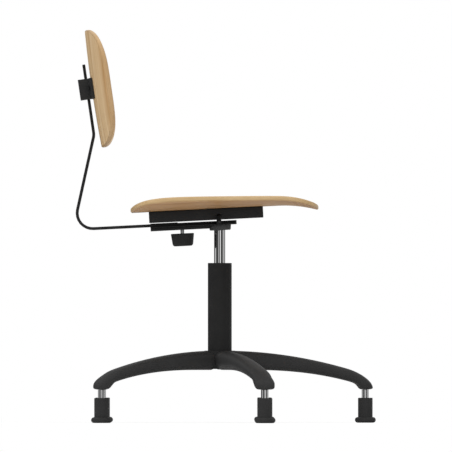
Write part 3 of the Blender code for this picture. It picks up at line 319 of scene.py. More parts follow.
# Clamp knob
KNOB_TAPER = 0.00335
KNOB_TOP_EDGE = 0.0018
KNOB_LOW_EDGE = 0.0060
KNOB_HOLE_RADIUS = 0.0043
KNOB_HOLE_DEPTH = 0.0183
KNOB_HOLE_EDGE = 0.0004
KNOB_DIMPLE_RADIUS = 0.0060
KNOB_DIMPLE_TAPER = 0.0005
KNOB_DIMPLE_DEPTH = 0.0004

# Cone under the seat
CONE_BOTTOM_RADIUS = 0.0219
CONE_TOP_EDGE = 0.0006
CONE_BOTTOM_EDGE = 0.0025
CONE_CLEARANCE = 0.0003
CONE_RIBS = 64
CONE_RIB_STEPS = 6
CONE_RIB_DEPTH = 0.0004

# Lever grip
GRIP_END = 0.0036
GRIP_END_STEPS = 6
GRIP_MOUTH_EDGE = 0.0008
GRIP_ROUNDNESS = 2.6
GRIP_TAPER = 0.35
GRIP_SIDES = 64
GRIP_CLEARANCE = 0.0003
GRIP_SOCKET_SQUARENESS = 12.0

# Screws
SCREW_SIDES = 48
SCREW_EDGE = 0.0006
SCREW_SHANK_SHARE = 0.45
SCREW_SOCKET_SHARE = 0.5
SCREW_SOCKET_DEPTH_SHARE = 0.5
SCREW_SOCKET_CORNERS = 6
SEAT_SCREW_COUNT = 4
SEAT_SCREW_HEAD_HEIGHT = 0.0033
BACK_SCREW_COUNT = 2
BACK_SCREW_HEAD_HEIGHT = 0.0024

# Meshes
SMOOTH_ANGLE = 35.0
TURN_SIDES = 96
ROUND_STEPS = 5
OUTLINE_STEPS = 2400
WELD = 0.000001
WALL_TOLERANCE = 0.001
FLAT_ANGLE = 0.5
SHARP_ANGLE = 30.0

scene = bpy.context.scene
nodes = frame["nodes"]
joints = {joint["name"]: joint for joint in frame["joints"]}
mounts = {mount["name"]: mount for mount in frame["record"]["mounts"]}


# Places taken from the frame

def axes(origin, forward, up):
    """Matrix of a frame with x forward and z up."""
    rotation = Matrix((forward, up.cross(forward), up)).transposed()
    return Matrix.Translation(origin) @ rotation.to_4x4()


def middle_of(node):
    """Middle of a node's box."""
    low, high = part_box(node)
    return (low + high) / 2


def radius_of(node):
    """Half the width of a node that is round about an upright axis."""
    low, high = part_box(node)
    return (high.x - low.x) / 2


def local_box(node, matrix):
    """Lowest and highest corner of a node, measured in a frame."""
    inverse = matrix.inverted()
    points = [inverse @ vertex.co for vertex in nodes[node].data.vertices]
    low = Vector(min(point[i] for point in points) for i in range(3))
    high = Vector(max(point[i] for point in points) for i in range(3))
    return low, high


column_x, column_y = joints["swivel"]["pos_m"][:2]
COLUMN = Matrix.Translation((column_x, column_y, 0.0))
CARRIER = axes(
    Vector(mounts["seat_top"]["pos_m"]),
    Vector(joints["back_depth"]["axis"]),
    Vector(mounts["seat_top"]["axis"]),
)
back_up = Vector(joints["back_height"]["axis"])
BACK = axes(middle_of("bracket_liner"), Vector((back_up.z, 0.0, -back_up.x)), back_up)


# Node trees

def new_material(name):
    """A new material, its node tree and its shader."""
    material = bpy.data.materials.new(name)
    material.use_nodes = True
    tree = material.node_tree
    return material, tree, tree.nodes["Principled BSDF"]


def socket_key(key):
    """The place of an input for a key such as i0, or else its name with spaces."""
    if key[0] == "i" and key[1:].isdigit():
        return int(key[1:])
    return key.replace("_", " ")


def add(tree, kind, settings=None, **inputs):
    """Add a node: settings are its own properties, inputs are values or sockets by key."""
    node = tree.nodes.new(kind)
    for key, value in (settings or {}).items():
        setattr(node, key, value)
    for key, value in inputs.items():
        socket = node.inputs[socket_key(key)]
        if isinstance(value, bpy.types.NodeSocket):
            tree.links.new(value, socket)
        else:
            socket.default_value = value
    return node


def math_node(tree, operation, first, second=0.0, third=0.0, clamp=False):
    """One sum, product or comparison."""
    settings = {"operation": operation, "use_clamp": clamp}
    return add(tree, "ShaderNodeMath", settings, i0=first, i1=second, i2=third).outputs[0]


def contrast(tree, value, gain, cut):
    """A value times the gain less the cut, kept between 0 and 1."""
    return math_node(tree, "MULTIPLY_ADD", value, gain, -cut, clamp=True)


def noise(tree, vector, scale, detail, roughness=0.55):
    """Grey noise at a scale."""
    node = add(tree, "ShaderNodeTexNoise", Vector=vector, Scale=scale, Detail=detail, Roughness=roughness)
    return node.outputs[0]


def stretched_noise(tree, vector, scale, start=(0.0, 0.0, 0.0), **settings):
    """Grey noise with a scale for each axis, moved to a start of its own."""
    mapping = add(tree, "ShaderNodeMapping", Vector=vector, Location=start, Scale=scale)
    return noise(tree, mapping.outputs[0], 1.0, **settings)


def ramp(tree, factor, stops, interpolation="LINEAR"):
    """Colour by a factor; stops are (place, colour)."""
    node = add(tree, "ShaderNodeValToRGB", Fac=factor)
    node.color_ramp.interpolation = interpolation
    elements = node.color_ramp.elements
    while len(elements) < len(stops):
        elements.new(0.5)
    for element, (place, colour) in zip(elements, stops):
        element.position = place
        element.color = (*colour, 1.0)
    return node.outputs[0]


def opaque(colour):
    """A colour with its alpha, or a socket as it is."""
    if isinstance(colour, bpy.types.NodeSocket):
        return colour
    return (*colour, 1.0)


def mixed(tree, factor, first, second, blend="MIX"):
    """Two colours mixed by a factor."""
    settings = {"data_type": "RGBA", "blend_type": blend, "clamp_result": True}
    node = add(tree, "ShaderNodeMix", settings, i0=factor, i6=opaque(first), i7=opaque(second))
    return node.outputs[2]


def grey(value):
    """A grey of a level."""
    return (value, value, value)


def bump(tree, shader, height, strength, distance):
    """Roughen a surface's normal."""
    node = add(tree, "ShaderNodeBump", Height=height, Strength=strength, Distance=distance)
    tree.links.new(node.outputs[0], shader.inputs["Normal"])


def object_vector(tree):
    """Place in metres in the object's own frame."""
    return add(tree, "ShaderNodeTexCoord").outputs["Object"]


# Materials

def wandering_line(tree, ply, across):
    """Place across the grain, which drifts and ripples on its way along the panel."""
    drift = stretched_noise(tree, ply, DRIFT_SCALE, detail=2.0)
    moved = math_node(tree, "MULTIPLY_ADD", drift, DRIFT, -DRIFT / 2)
    ripple = stretched_noise(tree, ply, RIPPLE_SCALE, RIPPLE_START, detail=2.0)
    moved = math_node(tree, "MULTIPLY_ADD", ripple, RIPPLE, moved)
    return math_node(tree, "ADD", across, moved)


def side_streaks(tree, wandering, figure, strength):
    """How much of a streak there is at a place across the grain, broken up by the figure."""
    beside = math_node(tree, "SUBTRACT", math_node(tree, "ABSOLUTE", wandering), STREAK_PLACE)
    closeness = math_node(tree, "DIVIDE", math_node(tree, "ABSOLUTE", beside), STREAK_WIDTH)
    streaked = math_node(tree, "SUBTRACT", 1.0, closeness, clamp=True)
    return math_node(tree, "MULTIPLY", math_node(tree, "MULTIPLY", streaked, figure), strength)


def veneers(tree, ply, share, colours, darkness):
    """The cut edge: a tone for each veneer, which comes and goes in patches."""
    stops = [(i / len(darkness), grey(level)) for i, level in enumerate(darkness)]
    layers = ramp(tree, share, stops, "CONSTANT")
    patch = stretched_noise(tree, ply, PATCH_SCALE, PATCH_START, detail=1.0)
    patchy = contrast(tree, patch, PATCH_GAIN, PATCH_CUT)
    return mixed(tree, math_node(tree, "MULTIPLY", layers, patchy), *colours)


def plywood(name, grain_colours, edge_colours, edge_darkness, far_face_painted_shade=None, streak=None):
    """Lacquered beech plywood; "ply" holds metres along the grain, across it and through the veneers.

    The second face, where the depth is greatest, may be darkened by a multiplier of painted shade, and both
    sides may have a streak.
    """
    material, tree, shader = new_material(name)
    ply = add(tree, "ShaderNodeAttribute", {"attribute_name": "ply"}).outputs["Vector"]
    along, across, depth = add(tree, "ShaderNodeSeparateXYZ", Vector=ply).outputs
    wandering = wandering_line(tree, ply, across)
    grain = add(tree, "ShaderNodeCombineXYZ", X=along, Y=wandering, Z=depth).outputs[0]

    broad = stretched_noise(tree, grain, BROAD_SCALE, detail=5.0, roughness=BROAD_ROUGHNESS)
    medium = stretched_noise(tree, grain, MEDIUM_SCALE, detail=3.0)
    fine = stretched_noise(tree, grain, FINE_SCALE, detail=2.0)
    fleck = stretched_noise(tree, grain, FLECK_SCALE, FLECK_START, detail=1.0)
    tone = math_node(tree, "MULTIPLY", medium, MEDIUM_WEIGHT)
    tone = math_node(tree, "MULTIPLY_ADD", fine, FINE_WEIGHT, tone)
    tone = math_node(tree, "MULTIPLY_ADD", broad, BROAD_WEIGHT, tone)
    face = ramp(tree, tone, list(zip(GRAIN_PLACES, grain_colours)))
    if streak:
        face = mixed(tree, side_streaks(tree, wandering, medium, streak), face, STREAK_TINT, "MULTIPLY")
    flecked = contrast(tree, fleck, FLECK_GAIN, FLECK_CUT)
    face = mixed(tree, math_node(tree, "MULTIPLY", flecked, FLECK_SHARE), face, FLECK_COLOUR)

    share = math_node(tree, "DIVIDE", depth, PLY_THICKNESS)
    past_near = math_node(tree, "GREATER_THAN", share, EDGE_FACE_SHARE)
    far_side = math_node(tree, "GREATER_THAN", share, 1 - EDGE_FACE_SHARE)
    # Painted shade: the second face is multiplied darker
    if far_face_painted_shade:
        face = mixed(tree, far_side, face, far_face_painted_shade, "MULTIPLY")
    edge = veneers(tree, ply, share, edge_colours, edge_darkness)
    edge = mixed(tree, EDGE_GRAIN_SHARE, edge, mixed(tree, medium, edge, face))
    on_edge = math_node(tree, "SUBTRACT", past_near, far_side)
    tree.links.new(mixed(tree, on_edge, face, edge), shader.inputs["Base Color"])

    rough = math_node(tree, "MULTIPLY_ADD", fine, LACQUER_SPREAD, LACQUER_ROUGHNESS)
    tree.links.new(rough, shader.inputs["Roughness"])
    shader.inputs["Specular IOR Level"].default_value = LACQUER_SPECULAR
    height = math_node(tree, "SUBTRACT", fine, math_node(tree, "MULTIPLY", flecked, FLECK_PIT))
    bump(tree, shader, height, LACQUER_BUMP, LACQUER_BUMP_DEPTH)
    return material


def black_finish(name, dark, light, roughness, specular, speck_scale, depth):
    """A black coating or moulding: clouded colour, fine specks and a pebbled skin."""
    material, tree, shader = new_material(name)
    vector = object_vector(tree)
    cloud = noise(tree, vector, BLACK_CLOUD_SCALE, detail=4.0)
    speck = noise(tree, vector, speck_scale, detail=2.0)
    tone = math_node(tree, "MULTIPLY", cloud, 1 - BLACK_SPECK_WEIGHT)
    tone = math_node(tree, "MULTIPLY_ADD", speck, BLACK_SPECK_WEIGHT, tone)
    colour = ramp(tree, tone, list(zip(BLACK_TONES, (grey(dark), grey(light)))))
    tree.links.new(colour, shader.inputs["Base Color"])
    rough = math_node(tree, "MULTIPLY_ADD", cloud, BLACK_SPREAD, roughness - BLACK_SPREAD / 2)
    tree.links.new(rough, shader.inputs["Roughness"])
    shader.inputs["Specular IOR Level"].default_value = specular
    bump(tree, shader, speck, BLACK_BUMP, depth)
    return material


def metal(name, dark, light, roughness, spread, line_scale):
    """Bare or plated metal with a faint drawn grain in its gloss."""
    material, tree, shader = new_material(name)
    vector = object_vector(tree)
    cloud = noise(tree, vector, METAL_CLOUD_SCALE, detail=3.0)
    lines = stretched_noise(tree, vector, line_scale, detail=3.0)
    tone = math_node(tree, "MULTIPLY", cloud, 1 - METAL_LINE_WEIGHT)
    tone = math_node(tree, "MULTIPLY_ADD", lines, METAL_LINE_WEIGHT, tone)
    colour = ramp(tree, tone, list(zip(METAL_TONES, (grey(dark), grey(light)))))
    tree.links.new(colour, shader.inputs["Base Color"])
    rough = math_node(tree, "MULTIPLY_ADD", tone, spread, roughness - spread / 2)
    tree.links.new(rough, shader.inputs["Roughness"])
    shader.inputs["Metallic"].default_value = 1.0
    return material


looks = {name: black_finish(name + "_look", *finish) for name, finish in BLACK_FINISHES.items()}
for name, finish in METALS.items():
    looks[name] = metal(name + "_look", *finish)
# The seat's underside gets painted shade
looks["beech_plywood"] = plywood("beech_plywood_look", SEAT_GRAIN, SEAT_EDGE_COLOURS, SEAT_EDGE,
                                 far_face_painted_shade=SEAT_UNDERSIDE_PAINTED_SHADE)
looks["back_plywood"] = plywood("back_plywood_look", BACK_GRAIN, BACK_EDGE_COLOURS, BACK_EDGE,
                                streak=STREAK_STRENGTH)
slots = {name: node.data.materials[0].name for name, node in nodes.items()}
for name, node in nodes.items():
    node.data.materials[0] = looks[slots[name]]


# Shapes

def dressed(name, shape, matrix, node, look=None):
    """Make a piece of a bmesh in a frame; it stands for a node and has its finish or another look."""
    bmesh.ops.recalc_face_normals(shape, faces=shape.faces)
    shape.transform(matrix)
    mesh = bpy.data.meshes.new(name)
    shape.to_mesh(mesh)
    shape.free()
    mesh.materials.append(looks[look or slots[node]])
    mesh.shade_smooth()
    mesh.set_sharp_from_angle(angle=math.radians(SMOOTH_ANGLE))
    piece = bpy.data.objects.new(name, mesh)
    scene.collection.objects.link(piece)
    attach(piece, nodes[node]["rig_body"])
    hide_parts(node)
    return piece


def loft(rings, closed=False):
    """Skin rings of equal point counts, capped at both ends or joined end to end."""
    shape = bmesh.new()
    loops = [[shape.verts.new(point) for point in ring] for ring in rings]
    pairs = list(zip(loops, loops[1:]))
    if closed:
        pairs.append((loops[-1], loops[0]))
    for first, second in pairs:
        for i in range(len(first)):
            j = (i + 1) % len(first)
            shape.faces.new((first[i], first[j], second[j], second[i]))
    if not closed:
        shape.faces.new(loops[0])
        shape.faces.new(loops[-1])
    return shape


def around(count):
    """Angles spaced evenly round a turn."""
    return [2 * math.pi * i / count for i in range(count)]


def circle(radius, z, count):
    """Points round the Z axis at a height."""
    return [(radius * math.cos(angle), radius * math.sin(angle), z) for angle in around(count)]


def rounded(corners, closed=False):
    """Points of a flat line whose corners are eased; corners are (x, y, radius)."""
    points = []
    count = len(corners)
    for i, (x, y, radius) in enumerate(corners):
        here = Vector((x, y))
        if radius <= 0 or (not closed and i in (0, count - 1)):
            points.append((x, y))
            continue
        before = Vector(corners[i - 1][:2]) - here
        after = Vector(corners[(i + 1) % count][:2]) - here
        half_turn = (math.pi - before.angle(after)) / 2
        reach = min(radius * math.tan(half_turn), before.length / 2, after.length / 2)
        start = here + before.normalized() * reach
        end = here + after.normalized() * reach
        for k in range(ROUND_STEPS + 1):
            share = k / ROUND_STEPS
            point = start * (1 - share) ** 2 + here * 2 * share * (1 - share) + end * share ** 2
            points.append(tuple(point))
    return points


def lathe(corners, closed=False, sides=TURN_SIDES):
    """Turn corners of (radius, height, edge radius) about Z: a solid with flat ends, or a closed ring."""
    return loft([circle(radius, z, sides) for radius, z in rounded(corners, closed)], closed)


def evenly(points, count):
    """Points spaced evenly along a closed line."""
    lengths = [0.0]
    for i, point in enumerate(points):
        following = points[(i + 1) % len(points)]
        lengths.append(lengths[-1] + math.dist(point, following))
    spaced = []
    place = 0
    for k in range(count):
        wanted = lengths[-1] * k / count
        while lengths[place + 1] < wanted:
            place += 1
        share = (wanted - lengths[place]) / (lengths[place + 1] - lengths[place])
        first = Vector(points[place])
        second = Vector(points[(place + 1) % len(points)])
        spaced.append(tuple(first.lerp(second, share)))
    return spaced


def superellipse(half_a, half_b, squareness, count, rear_squareness=None):
    """Evenly spaced points of a rounded outline; the rear half may have its own squareness."""
    points = []
    for angle in around(OUTLINE_STEPS):
        c = math.cos(angle)
        s = math.sin(angle)
        power = 2 / (rear_squareness if rear_squareness and c < 0 else squareness)
        a = half_a * math.copysign(abs(c) ** power, c)
        b = half_b * math.copysign(abs(s) ** power, s)
        points.append((a, b))
    return evenly(points, count)


def eased(node, radius):
    """The node's own solid with its sharp edges eased."""
    shape = bmesh.new()
    shape.from_mesh(nodes[node].data)
    bmesh.ops.remove_doubles(shape, verts=shape.verts, dist=WELD)
    flat = math.radians(FLAT_ANGLE)
    bmesh.ops.dissolve_limit(shape, angle_limit=flat, verts=shape.verts, edges=shape.edges)
    sharp = [edge for edge in shape.edges
             if len(edge.link_faces) == 2 and edge.calc_face_angle() > math.radians(SHARP_ANGLE)]
    bmesh.ops.bevel(shape, geom=sharp, offset=radius, segments=EASE_SEGMENTS, profile=EASE_PROFILE,
                    affect="EDGES", clamp_overlap=True)
    return shape


# Plywood shells

def bent_up(distance, flat, half, rise):
    """How far a panel has curved at a distance from its middle line, beyond a flat strip."""
    return rise * (max(0.0, abs(distance) - flat) / (half - flat)) ** 2


def seat_surface(a, y, depth):
    """A point of the seat in the carrier's frame; depth runs from the upper face to the lower."""
    x = SEAT_FRONT - SEAT_DEPTH / 2 + a
    along = a / (SEAT_DEPTH / 2)
    tilt = (SEAT_DISH_FRONT - SEAT_DISH_REAR) / 2
    bulge = (SEAT_DISH_FRONT + SEAT_DISH_REAR) / 2 - SEAT_DISH_MIDDLE
    dish = SEAT_DISH_MIDDLE + tilt * along + bulge * along ** 2
    rolled = max(0.0, x - SEAT_ROLL_START)
    on_arc = min(rolled, SEAT_ROLL_LENGTH)
    slope = math.tan(math.radians(SEAT_ROLL_ANGLE))
    roll = slope * (on_arc ** 2 / (2 * SEAT_ROLL_LENGTH) + rolled - on_arc)
    return (x, y, bent_up(y, SEAT_FLAT, SEAT_WIDTH / 2, dish) - roll - depth)


back_low, back_high = local_box("backrest_shell", BACK)
back_middle = (back_low.z + back_high.z) / 2


def back_surface(y, z, depth):
    """A point of the backrest in the back's frame; depth runs from the rear face to the front."""
    bow = BACK_BOW * (z / (BACK_HEIGHT / 2)) ** 2
    curve = BACK_SAGITTA * (y / (BACK_WIDTH / 2)) ** 2
    return (back_low.x + bow + curve + depth, y, back_middle + z)


def mark_ply(piece, places):
    """Let every point of a panel know its place along the grain, across it and through the veneers."""
    attribute = piece.data.attributes.new("ply", "FLOAT_VECTOR", "POINT")
    attribute.data.foreach_set("vector", [value for place in places for value in place])


def panel_layers():
    """Share of the outline, inset and depth of each ring, from one face over the edge to the other."""
    edge = PLY_EDGE_RADIUS
    layers = [((i + 1) / (SHELL_RINGS + 1), edge, 0.0) for i in range(SHELL_RINGS)]
    for i in range(EDGE_STEPS + 1):
        angle = math.pi / 2 * i / EDGE_STEPS
        layers.append((1.0, edge * (1 - math.sin(angle)), edge * (1 - math.cos(angle))))
    return layers + [(share, inset, PLY_THICKNESS - depth) for share, inset, depth in reversed(layers)]


def panel_rings(half_a, half_b, squareness, rear_squareness):
    """Flat rings of a panel with eased edges; every point is two places in its plane and a depth."""
    rings = []
    for share, inset, depth in panel_layers():
        outline = superellipse(half_a - inset, half_b - inset, squareness, SHELL_SIDES, rear_squareness)
        rings.append([(a * share, b * share, depth) for a, b in outline])
    return rings


seat_rings = panel_rings(SEAT_DEPTH / 2, SEAT_WIDTH / 2, SEAT_FRONT_SQUARENESS, SEAT_REAR_SQUARENESS)
seat_shape = loft([[seat_surface(*point) for point in ring] for ring in seat_rings])
seat = dressed("seat", seat_shape, CARRIER, "seat_shell")
mark_ply(seat, [(a, b, depth) for ring in seat_rings for a, b, depth in ring])

back_rings = panel_rings(BACK_WIDTH / 2, BACK_HEIGHT / 2, BACK_SQUARENESS, BACK_SQUARENESS)
back_shape = loft([[back_surface(*point) for point in ring] for ring in back_rings])
backrest = dressed("backrest", back_shape, BACK, "backrest_shell", "back_plywood")
mark_ply(backrest, [(b, a, depth) for ring in back_rings for a, b, depth in ring])


# Base

hub_low, hub_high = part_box("base_hub")
tube_low, tube_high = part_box("column_tube")
tube_radius = radius_of("column_tube")
hub_bore = tube_radius + ARM_TUBE_GAP
pad_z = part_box("base_arm_1")[0].z
arm_low_z = pad_z + HUB_RISE
glide_circle = Vector(joints["glide_turn_1"]["pos_m"]).x - column_x
arm_tip = glide_circle + ARM_NOSE_REACH


def arm_level(radius):
    """Height of an arm's upper line before the nose rounds it off."""
    fall = hub_high.z - pad_z - ARM_TIP_DEPTH
    return hub_high.z - fall * (radius / glide_circle) ** ARM_TOP_POWER


def arm_top(radius):
    """Height of an arm's top at a distance from the column."""
    along = (radius - arm_tip + ARM_NOSE_LENGTH) / ARM_NOSE_LENGTH
    if along <= 0:
        return arm_level(radius)
    nose_fall = arm_level(arm_tip) - pad_z - ARM_NOSE_HEIGHT
    return arm_level(radius) - nose_fall * (1 - math.sqrt(1 - along ** 2))


def nose_narrowing(radius):
    """Share of the width left at the rounded end of an arm."""
    along = max(0.0, (radius - glide_circle) / ARM_NOSE_REACH)
    return math.sqrt(1 - along ** 2)


def foot_share(radius, side=0.0):
    """How far an arm's underside has come down to the foot over the glide, from 0 to 1."""
    along = abs(radius - glide_circle)
    across = abs(side) / ARM_FOOT_SPREAD
    from_glide = (along ** ARM_FOOT_POWER + across ** ARM_FOOT_POWER) ** (1 / ARM_FOOT_POWER)
    return 1 / (1 + (from_glide / ARM_FOOT_RADIUS) ** ARM_FOOT_SHARPNESS)


def arm_underside(radius, side=0.0):
    """Height of an arm's underside, which swells to a foot over the glide and rises to the nose."""
    end_level = pad_z + ARM_TIP_DEPTH - ARM_END_DEPTH
    along = max(0.0, (radius - ARM_LEVEL_REACH) / (glide_circle - ARM_LEVEL_REACH))
    level = arm_low_z - (arm_low_z - end_level) * along ** ARM_UNDERSIDE_POWER
    low = level + (pad_z - level) * foot_share(radius, side)
    return low + (pad_z + ARM_NOSE_HEIGHT - low) * (1 - nose_narrowing(radius)) ** 2


def arm_ring(radius):
    """Points round an arm; near the column two neighbours share the plane half way between them."""
    share = min(1.0, radius / glide_circle)
    half_width = ARM_ROOT_HALF_WIDTH + (ARM_TIP_HALF_WIDTH - ARM_ROOT_HALF_WIDTH) * share
    half_width *= nose_narrowing(radius)
    most = radius * math.tan(math.pi / ARM_COUNT)
    half_depth = (arm_top(radius) - arm_underside(radius)) / 2
    middle = arm_top(radius) - half_depth
    low_roundness = ARM_ROUNDNESS + (ARM_FOOT_ROUNDNESS - ARM_ROUNDNESS) * foot_share(radius)
    upper = superellipse(half_width, half_depth, ARM_ROUNDNESS, ARM_SIDES)
    lower = superellipse(half_width, half_depth, low_roundness, ARM_SIDES)
    ring = []
    for upper_point, lower_point in zip(upper, lower):
        y, z = upper_point if upper_point[1] > 0 else lower_point
        side = max(-most, min(most, y))
        if z < 0:
            z *= (middle - arm_underside(radius, y)) / half_depth
        ring.append((radius, side, middle + z))
    return ring


def arm_radii():
    """Where the rings of an arm lie, closer together over the foot and round the nose."""
    foot_start = glide_circle - ARM_FOOT_REACH
    radii = [hub_bore + (foot_start - hub_bore) * i / ARM_STATIONS for i in range(ARM_STATIONS)]
    radii += [foot_start + ARM_FOOT_REACH * i / FOOT_STATIONS for i in range(FOOT_STATIONS + 1)]
    for i in range(1, NOSE_STATIONS + 1):
        angle = math.pi / 2 * i / (NOSE_STATIONS + NOSE_LAST_STEP)
        radii.append(glide_circle + ARM_NOSE_REACH * math.sin(angle))
    return radii


for number, angle in enumerate(around(ARM_COUNT), 1):
    turn = COLUMN @ Matrix.Rotation(angle, 4, "Z")
    arm_shape = loft([arm_ring(radius) for radius in arm_radii()])
    # The arms take the lighter copy of the coat, as painted light
    dressed(f"arm_{number}", arm_shape, turn, f"base_arm_{number}", "arm_coat")

hub_radius = radius_of("base_hub")
hub_profile = [
    (hub_bore, hub_high.z, HUB_BORE_EDGE),
    (hub_radius, hub_high.z, HUB_TOP_EDGE),
    (hub_radius, hub_low.z, HUB_LOW_EDGE),
    (hub_bore, hub_low.z, HUB_BORE_EDGE),
]
dressed("hub", lathe(hub_profile, closed=True), COLUMN, "base_hub")


# Column

tube_bore = tube_radius - TUBE_WALL
tube_floor = tube_low.z + TUBE_FLOOR
tube_profile = [
    (tube_bore, tube_high.z, TUBE_BORE_EDGE),
    (tube_radius, tube_high.z, TUBE_TOP_EDGE),
    (tube_radius, tube_low.z, TUBE_LOW_EDGE),
    (TUBE_ROD_HOLE, tube_low.z, TUBE_BORE_EDGE),
    (TUBE_ROD_HOLE, tube_floor, TUBE_BORE_EDGE),
    (tube_bore, tube_floor, 0.0),
]
dressed("tube", lathe(tube_profile, closed=True), COLUMN, "column_tube")

cylinder_low, cylinder_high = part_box("gas_cylinder")
cylinder_radius = radius_of("gas_cylinder")
bush_low, bush_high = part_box("guide_bush")
bush_radius = radius_of("guide_bush")
bush_bore = cylinder_radius + BUSH_CLEARANCE
bush_profile = [
    (bush_bore, bush_high.z, BUSH_BORE_EDGE),
    (bush_radius, bush_high.z, BUSH_EDGE),
    (bush_radius, bush_low.z, BUSH_EDGE),
    (bush_bore, bush_low.z, BUSH_BORE_EDGE),
]
dressed("bush", lathe(bush_profile, closed=True), COLUMN, "guide_bush")


# Glides

def glide_profile(hole_floor, top):
    """Half section of a glide: a stem hole, a straight body and a round flange over a hollow sole."""
    hole = STEM_COLLAR_RADIUS + GLIDE_CLEARANCE
    corners = [
        (hole, hole_floor, 0.0),
        (hole, top, GLIDE_MOUTH_EDGE),
        (GLIDE_RADIUS, top, GLIDE_TOP_EDGE),
        (GLIDE_RADIUS, GLIDE_FLANGE_HEIGHT, GLIDE_WAIST_EDGE),
    ]
    half = GLIDE_FLANGE_HEIGHT / 2
    for i in range(FLANGE_STEPS + 1):
        angle = math.pi * i / FLANGE_STEPS
        reach = GLIDE_FLANGE_RADIUS - half + half * math.sin(angle)
        corners.append((reach, half + half * math.cos(angle), 0.0))
    corners.append((GLIDE_SOLE_RADIUS, 0.0, 0.0))
    corners.append((GLIDE_SOLE_RADIUS - GLIDE_HOLLOW_INSET, GLIDE_HOLLOW_DEPTH, 0.0))
    return corners


def stem_profile(low, high):
    """Half section of a stem: a collar in the glide and a pin in the arm above it."""
    shoulder = pad_z - GLIDE_CLEARANCE
    return [
        (STEM_COLLAR_RADIUS - STEM_FOOT_EDGE, low, 0.0),
        (STEM_COLLAR_RADIUS, low + STEM_FOOT_EDGE, 0.0),
        (STEM_COLLAR_RADIUS, shoulder, STEM_SHOULDER_EDGE),
        (STEM_PIN_RADIUS, shoulder, STEM_ROOT_EDGE),
        (STEM_PIN_RADIUS, high, STEM_PIN_EDGE),
        (STEM_TIP_RADIUS, high, 0.0),
    ]


for number in range(1, ARM_COUNT + 1):
    body = f"glide_body_{number}"
    stem = f"glide_stem_{number}"
    stem_low, stem_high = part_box(stem)
    body_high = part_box(body)[1]
    body_middle = middle_of(body)
    spot = Matrix.Translation((body_middle.x, body_middle.y, 0.0))
    body_profile = glide_profile(stem_low.z - GLIDE_CLEARANCE, body_high.z)
    dressed(f"glide_{number}", lathe(body_profile, sides=GLIDE_SIDES), spot, body)
    dressed(f"stem_{number}", lathe(stem_profile(stem_low.z, stem_high.z), sides=STEM_SIDES), spot, stem)


# Gas spring

def top_of_wall(node, radius):
    """Height where a node's round wall about the column ends."""
    points = [vertex.co for vertex in nodes[node].data.vertices]
    return max(point.z for point in points
               if math.hypot(point.x - column_x, point.y - column_y) > radius - WALL_TOLERANCE)


cylinder_bore = cylinder_radius - CYLINDER_WALL
cylinder_shoulder = top_of_wall("gas_cylinder", cylinder_radius)
cylinder_roof = cylinder_shoulder - CYLINDER_ROOF
cylinder_profile = [
    (cylinder_bore, cylinder_low.z, CYLINDER_BORE_EDGE),
    (cylinder_bore, cylinder_roof, 0.0),
    (CYLINDER_PIN_HOLE, cylinder_roof, 0.0),
    (CYLINDER_PIN_HOLE, cylinder_high.z, CYLINDER_BORE_EDGE),
    (CYLINDER_NECK_RADIUS, cylinder_high.z, CYLINDER_NECK_EDGE),
    (CYLINDER_NECK_RADIUS, cylinder_shoulder, CYLINDER_NECK_EDGE),
    (cylinder_radius, cylinder_shoulder, CYLINDER_SHOULDER_EDGE),
    (cylinder_radius, cylinder_low.z, CYLINDER_LOW_EDGE),
]
dressed("cylinder", lathe(cylinder_profile, closed=True), COLUMN, "gas_cylinder")


# Seat carrier and clamp

for node, radius in EASED_EDGES.items():
    dressed(node + "_eased", eased(node, radius), Matrix.Identity(4), node)

knob_low, knob_high = local_box("clamp_knob", CARRIER)
knob_radius = (knob_high.x - knob_low.x) / 2
clamp = CARRIER @ Matrix.Translation(((knob_low.x + knob_high.x) / 2, 0.0, 0.0))
knob_profile = [
    (KNOB_HOLE_RADIUS, knob_high.z - KNOB_HOLE_DEPTH, 0.0),
    (KNOB_HOLE_RADIUS, knob_high.z, KNOB_HOLE_EDGE),
    (knob_radius, knob_high.z, KNOB_TOP_EDGE),
    (knob_radius - KNOB_TAPER, knob_low.z, KNOB_LOW_EDGE),
    (KNOB_DIMPLE_RADIUS, knob_low.z, KNOB_HOLE_EDGE),
    (KNOB_DIMPLE_RADIUS - KNOB_DIMPLE_TAPER, knob_low.z + KNOB_DIMPLE_DEPTH, 0.0),
]
dressed("knob", lathe(knob_profile), clamp, "clamp_knob", "knob_plastic")

screw_low, screw_high = local_box("clamp_screw", clamp)
screw_radius = screw_high.x
screw_profile = [
    (screw_radius - SCREW_EDGE, screw_low.z, 0.0),
    (screw_radius, screw_low.z + SCREW_EDGE, 0.0),
    (screw_radius, screw_high.z - SCREW_EDGE, 0.0),
    (screw_radius - SCREW_EDGE, screw_high.z, 0.0),
]
dressed("screw", lathe(screw_profile, sides=SCREW_SIDES), clamp, "clamp_screw")


# Cone under the seat

def column_crossing(z):
    """Where the column's axis crosses a level of the carrier's frame."""
    into_carrier = CARRIER.inverted()
    start = into_carrier @ Vector((column_x, column_y, 0.0))
    up = into_carrier.to_3x3() @ Vector((0.0, 0.0, 1.0))
    return start.x + up.x * (z - start.z) / up.z


def cone_shape():
    """The cone under the seat: fine upright ribs outside and a bore along the column."""
    low, high = local_box("cone_socket", CARRIER)
    bore_radius = cylinder_radius + CONE_CLEARANCE
    corners = [
        (bore_radius, high.z, 0.0),
        (high.x, high.z, CONE_TOP_EDGE),
        (CONE_BOTTOM_RADIUS, low.z, CONE_BOTTOM_EDGE),
        (bore_radius, low.z, 0.0),
    ]
    rings = []
    for radius, z in rounded(corners):
        centre = column_crossing(z) if radius == bore_radius else 0.0
        depth = 0.0 if radius == bore_radius else CONE_RIB_DEPTH
        ring = []
        for angle in around(CONE_RIBS * CONE_RIB_STEPS):
            reach = radius - depth * (1 - math.cos(CONE_RIBS * angle)) / 2
            ring.append((centre + reach * math.cos(angle), reach * math.sin(angle), z))
        rings.append(ring)
    return loft(rings, closed=True)


dressed("cone", cone_shape(), CARRIER, "cone_socket")


# Lever grip

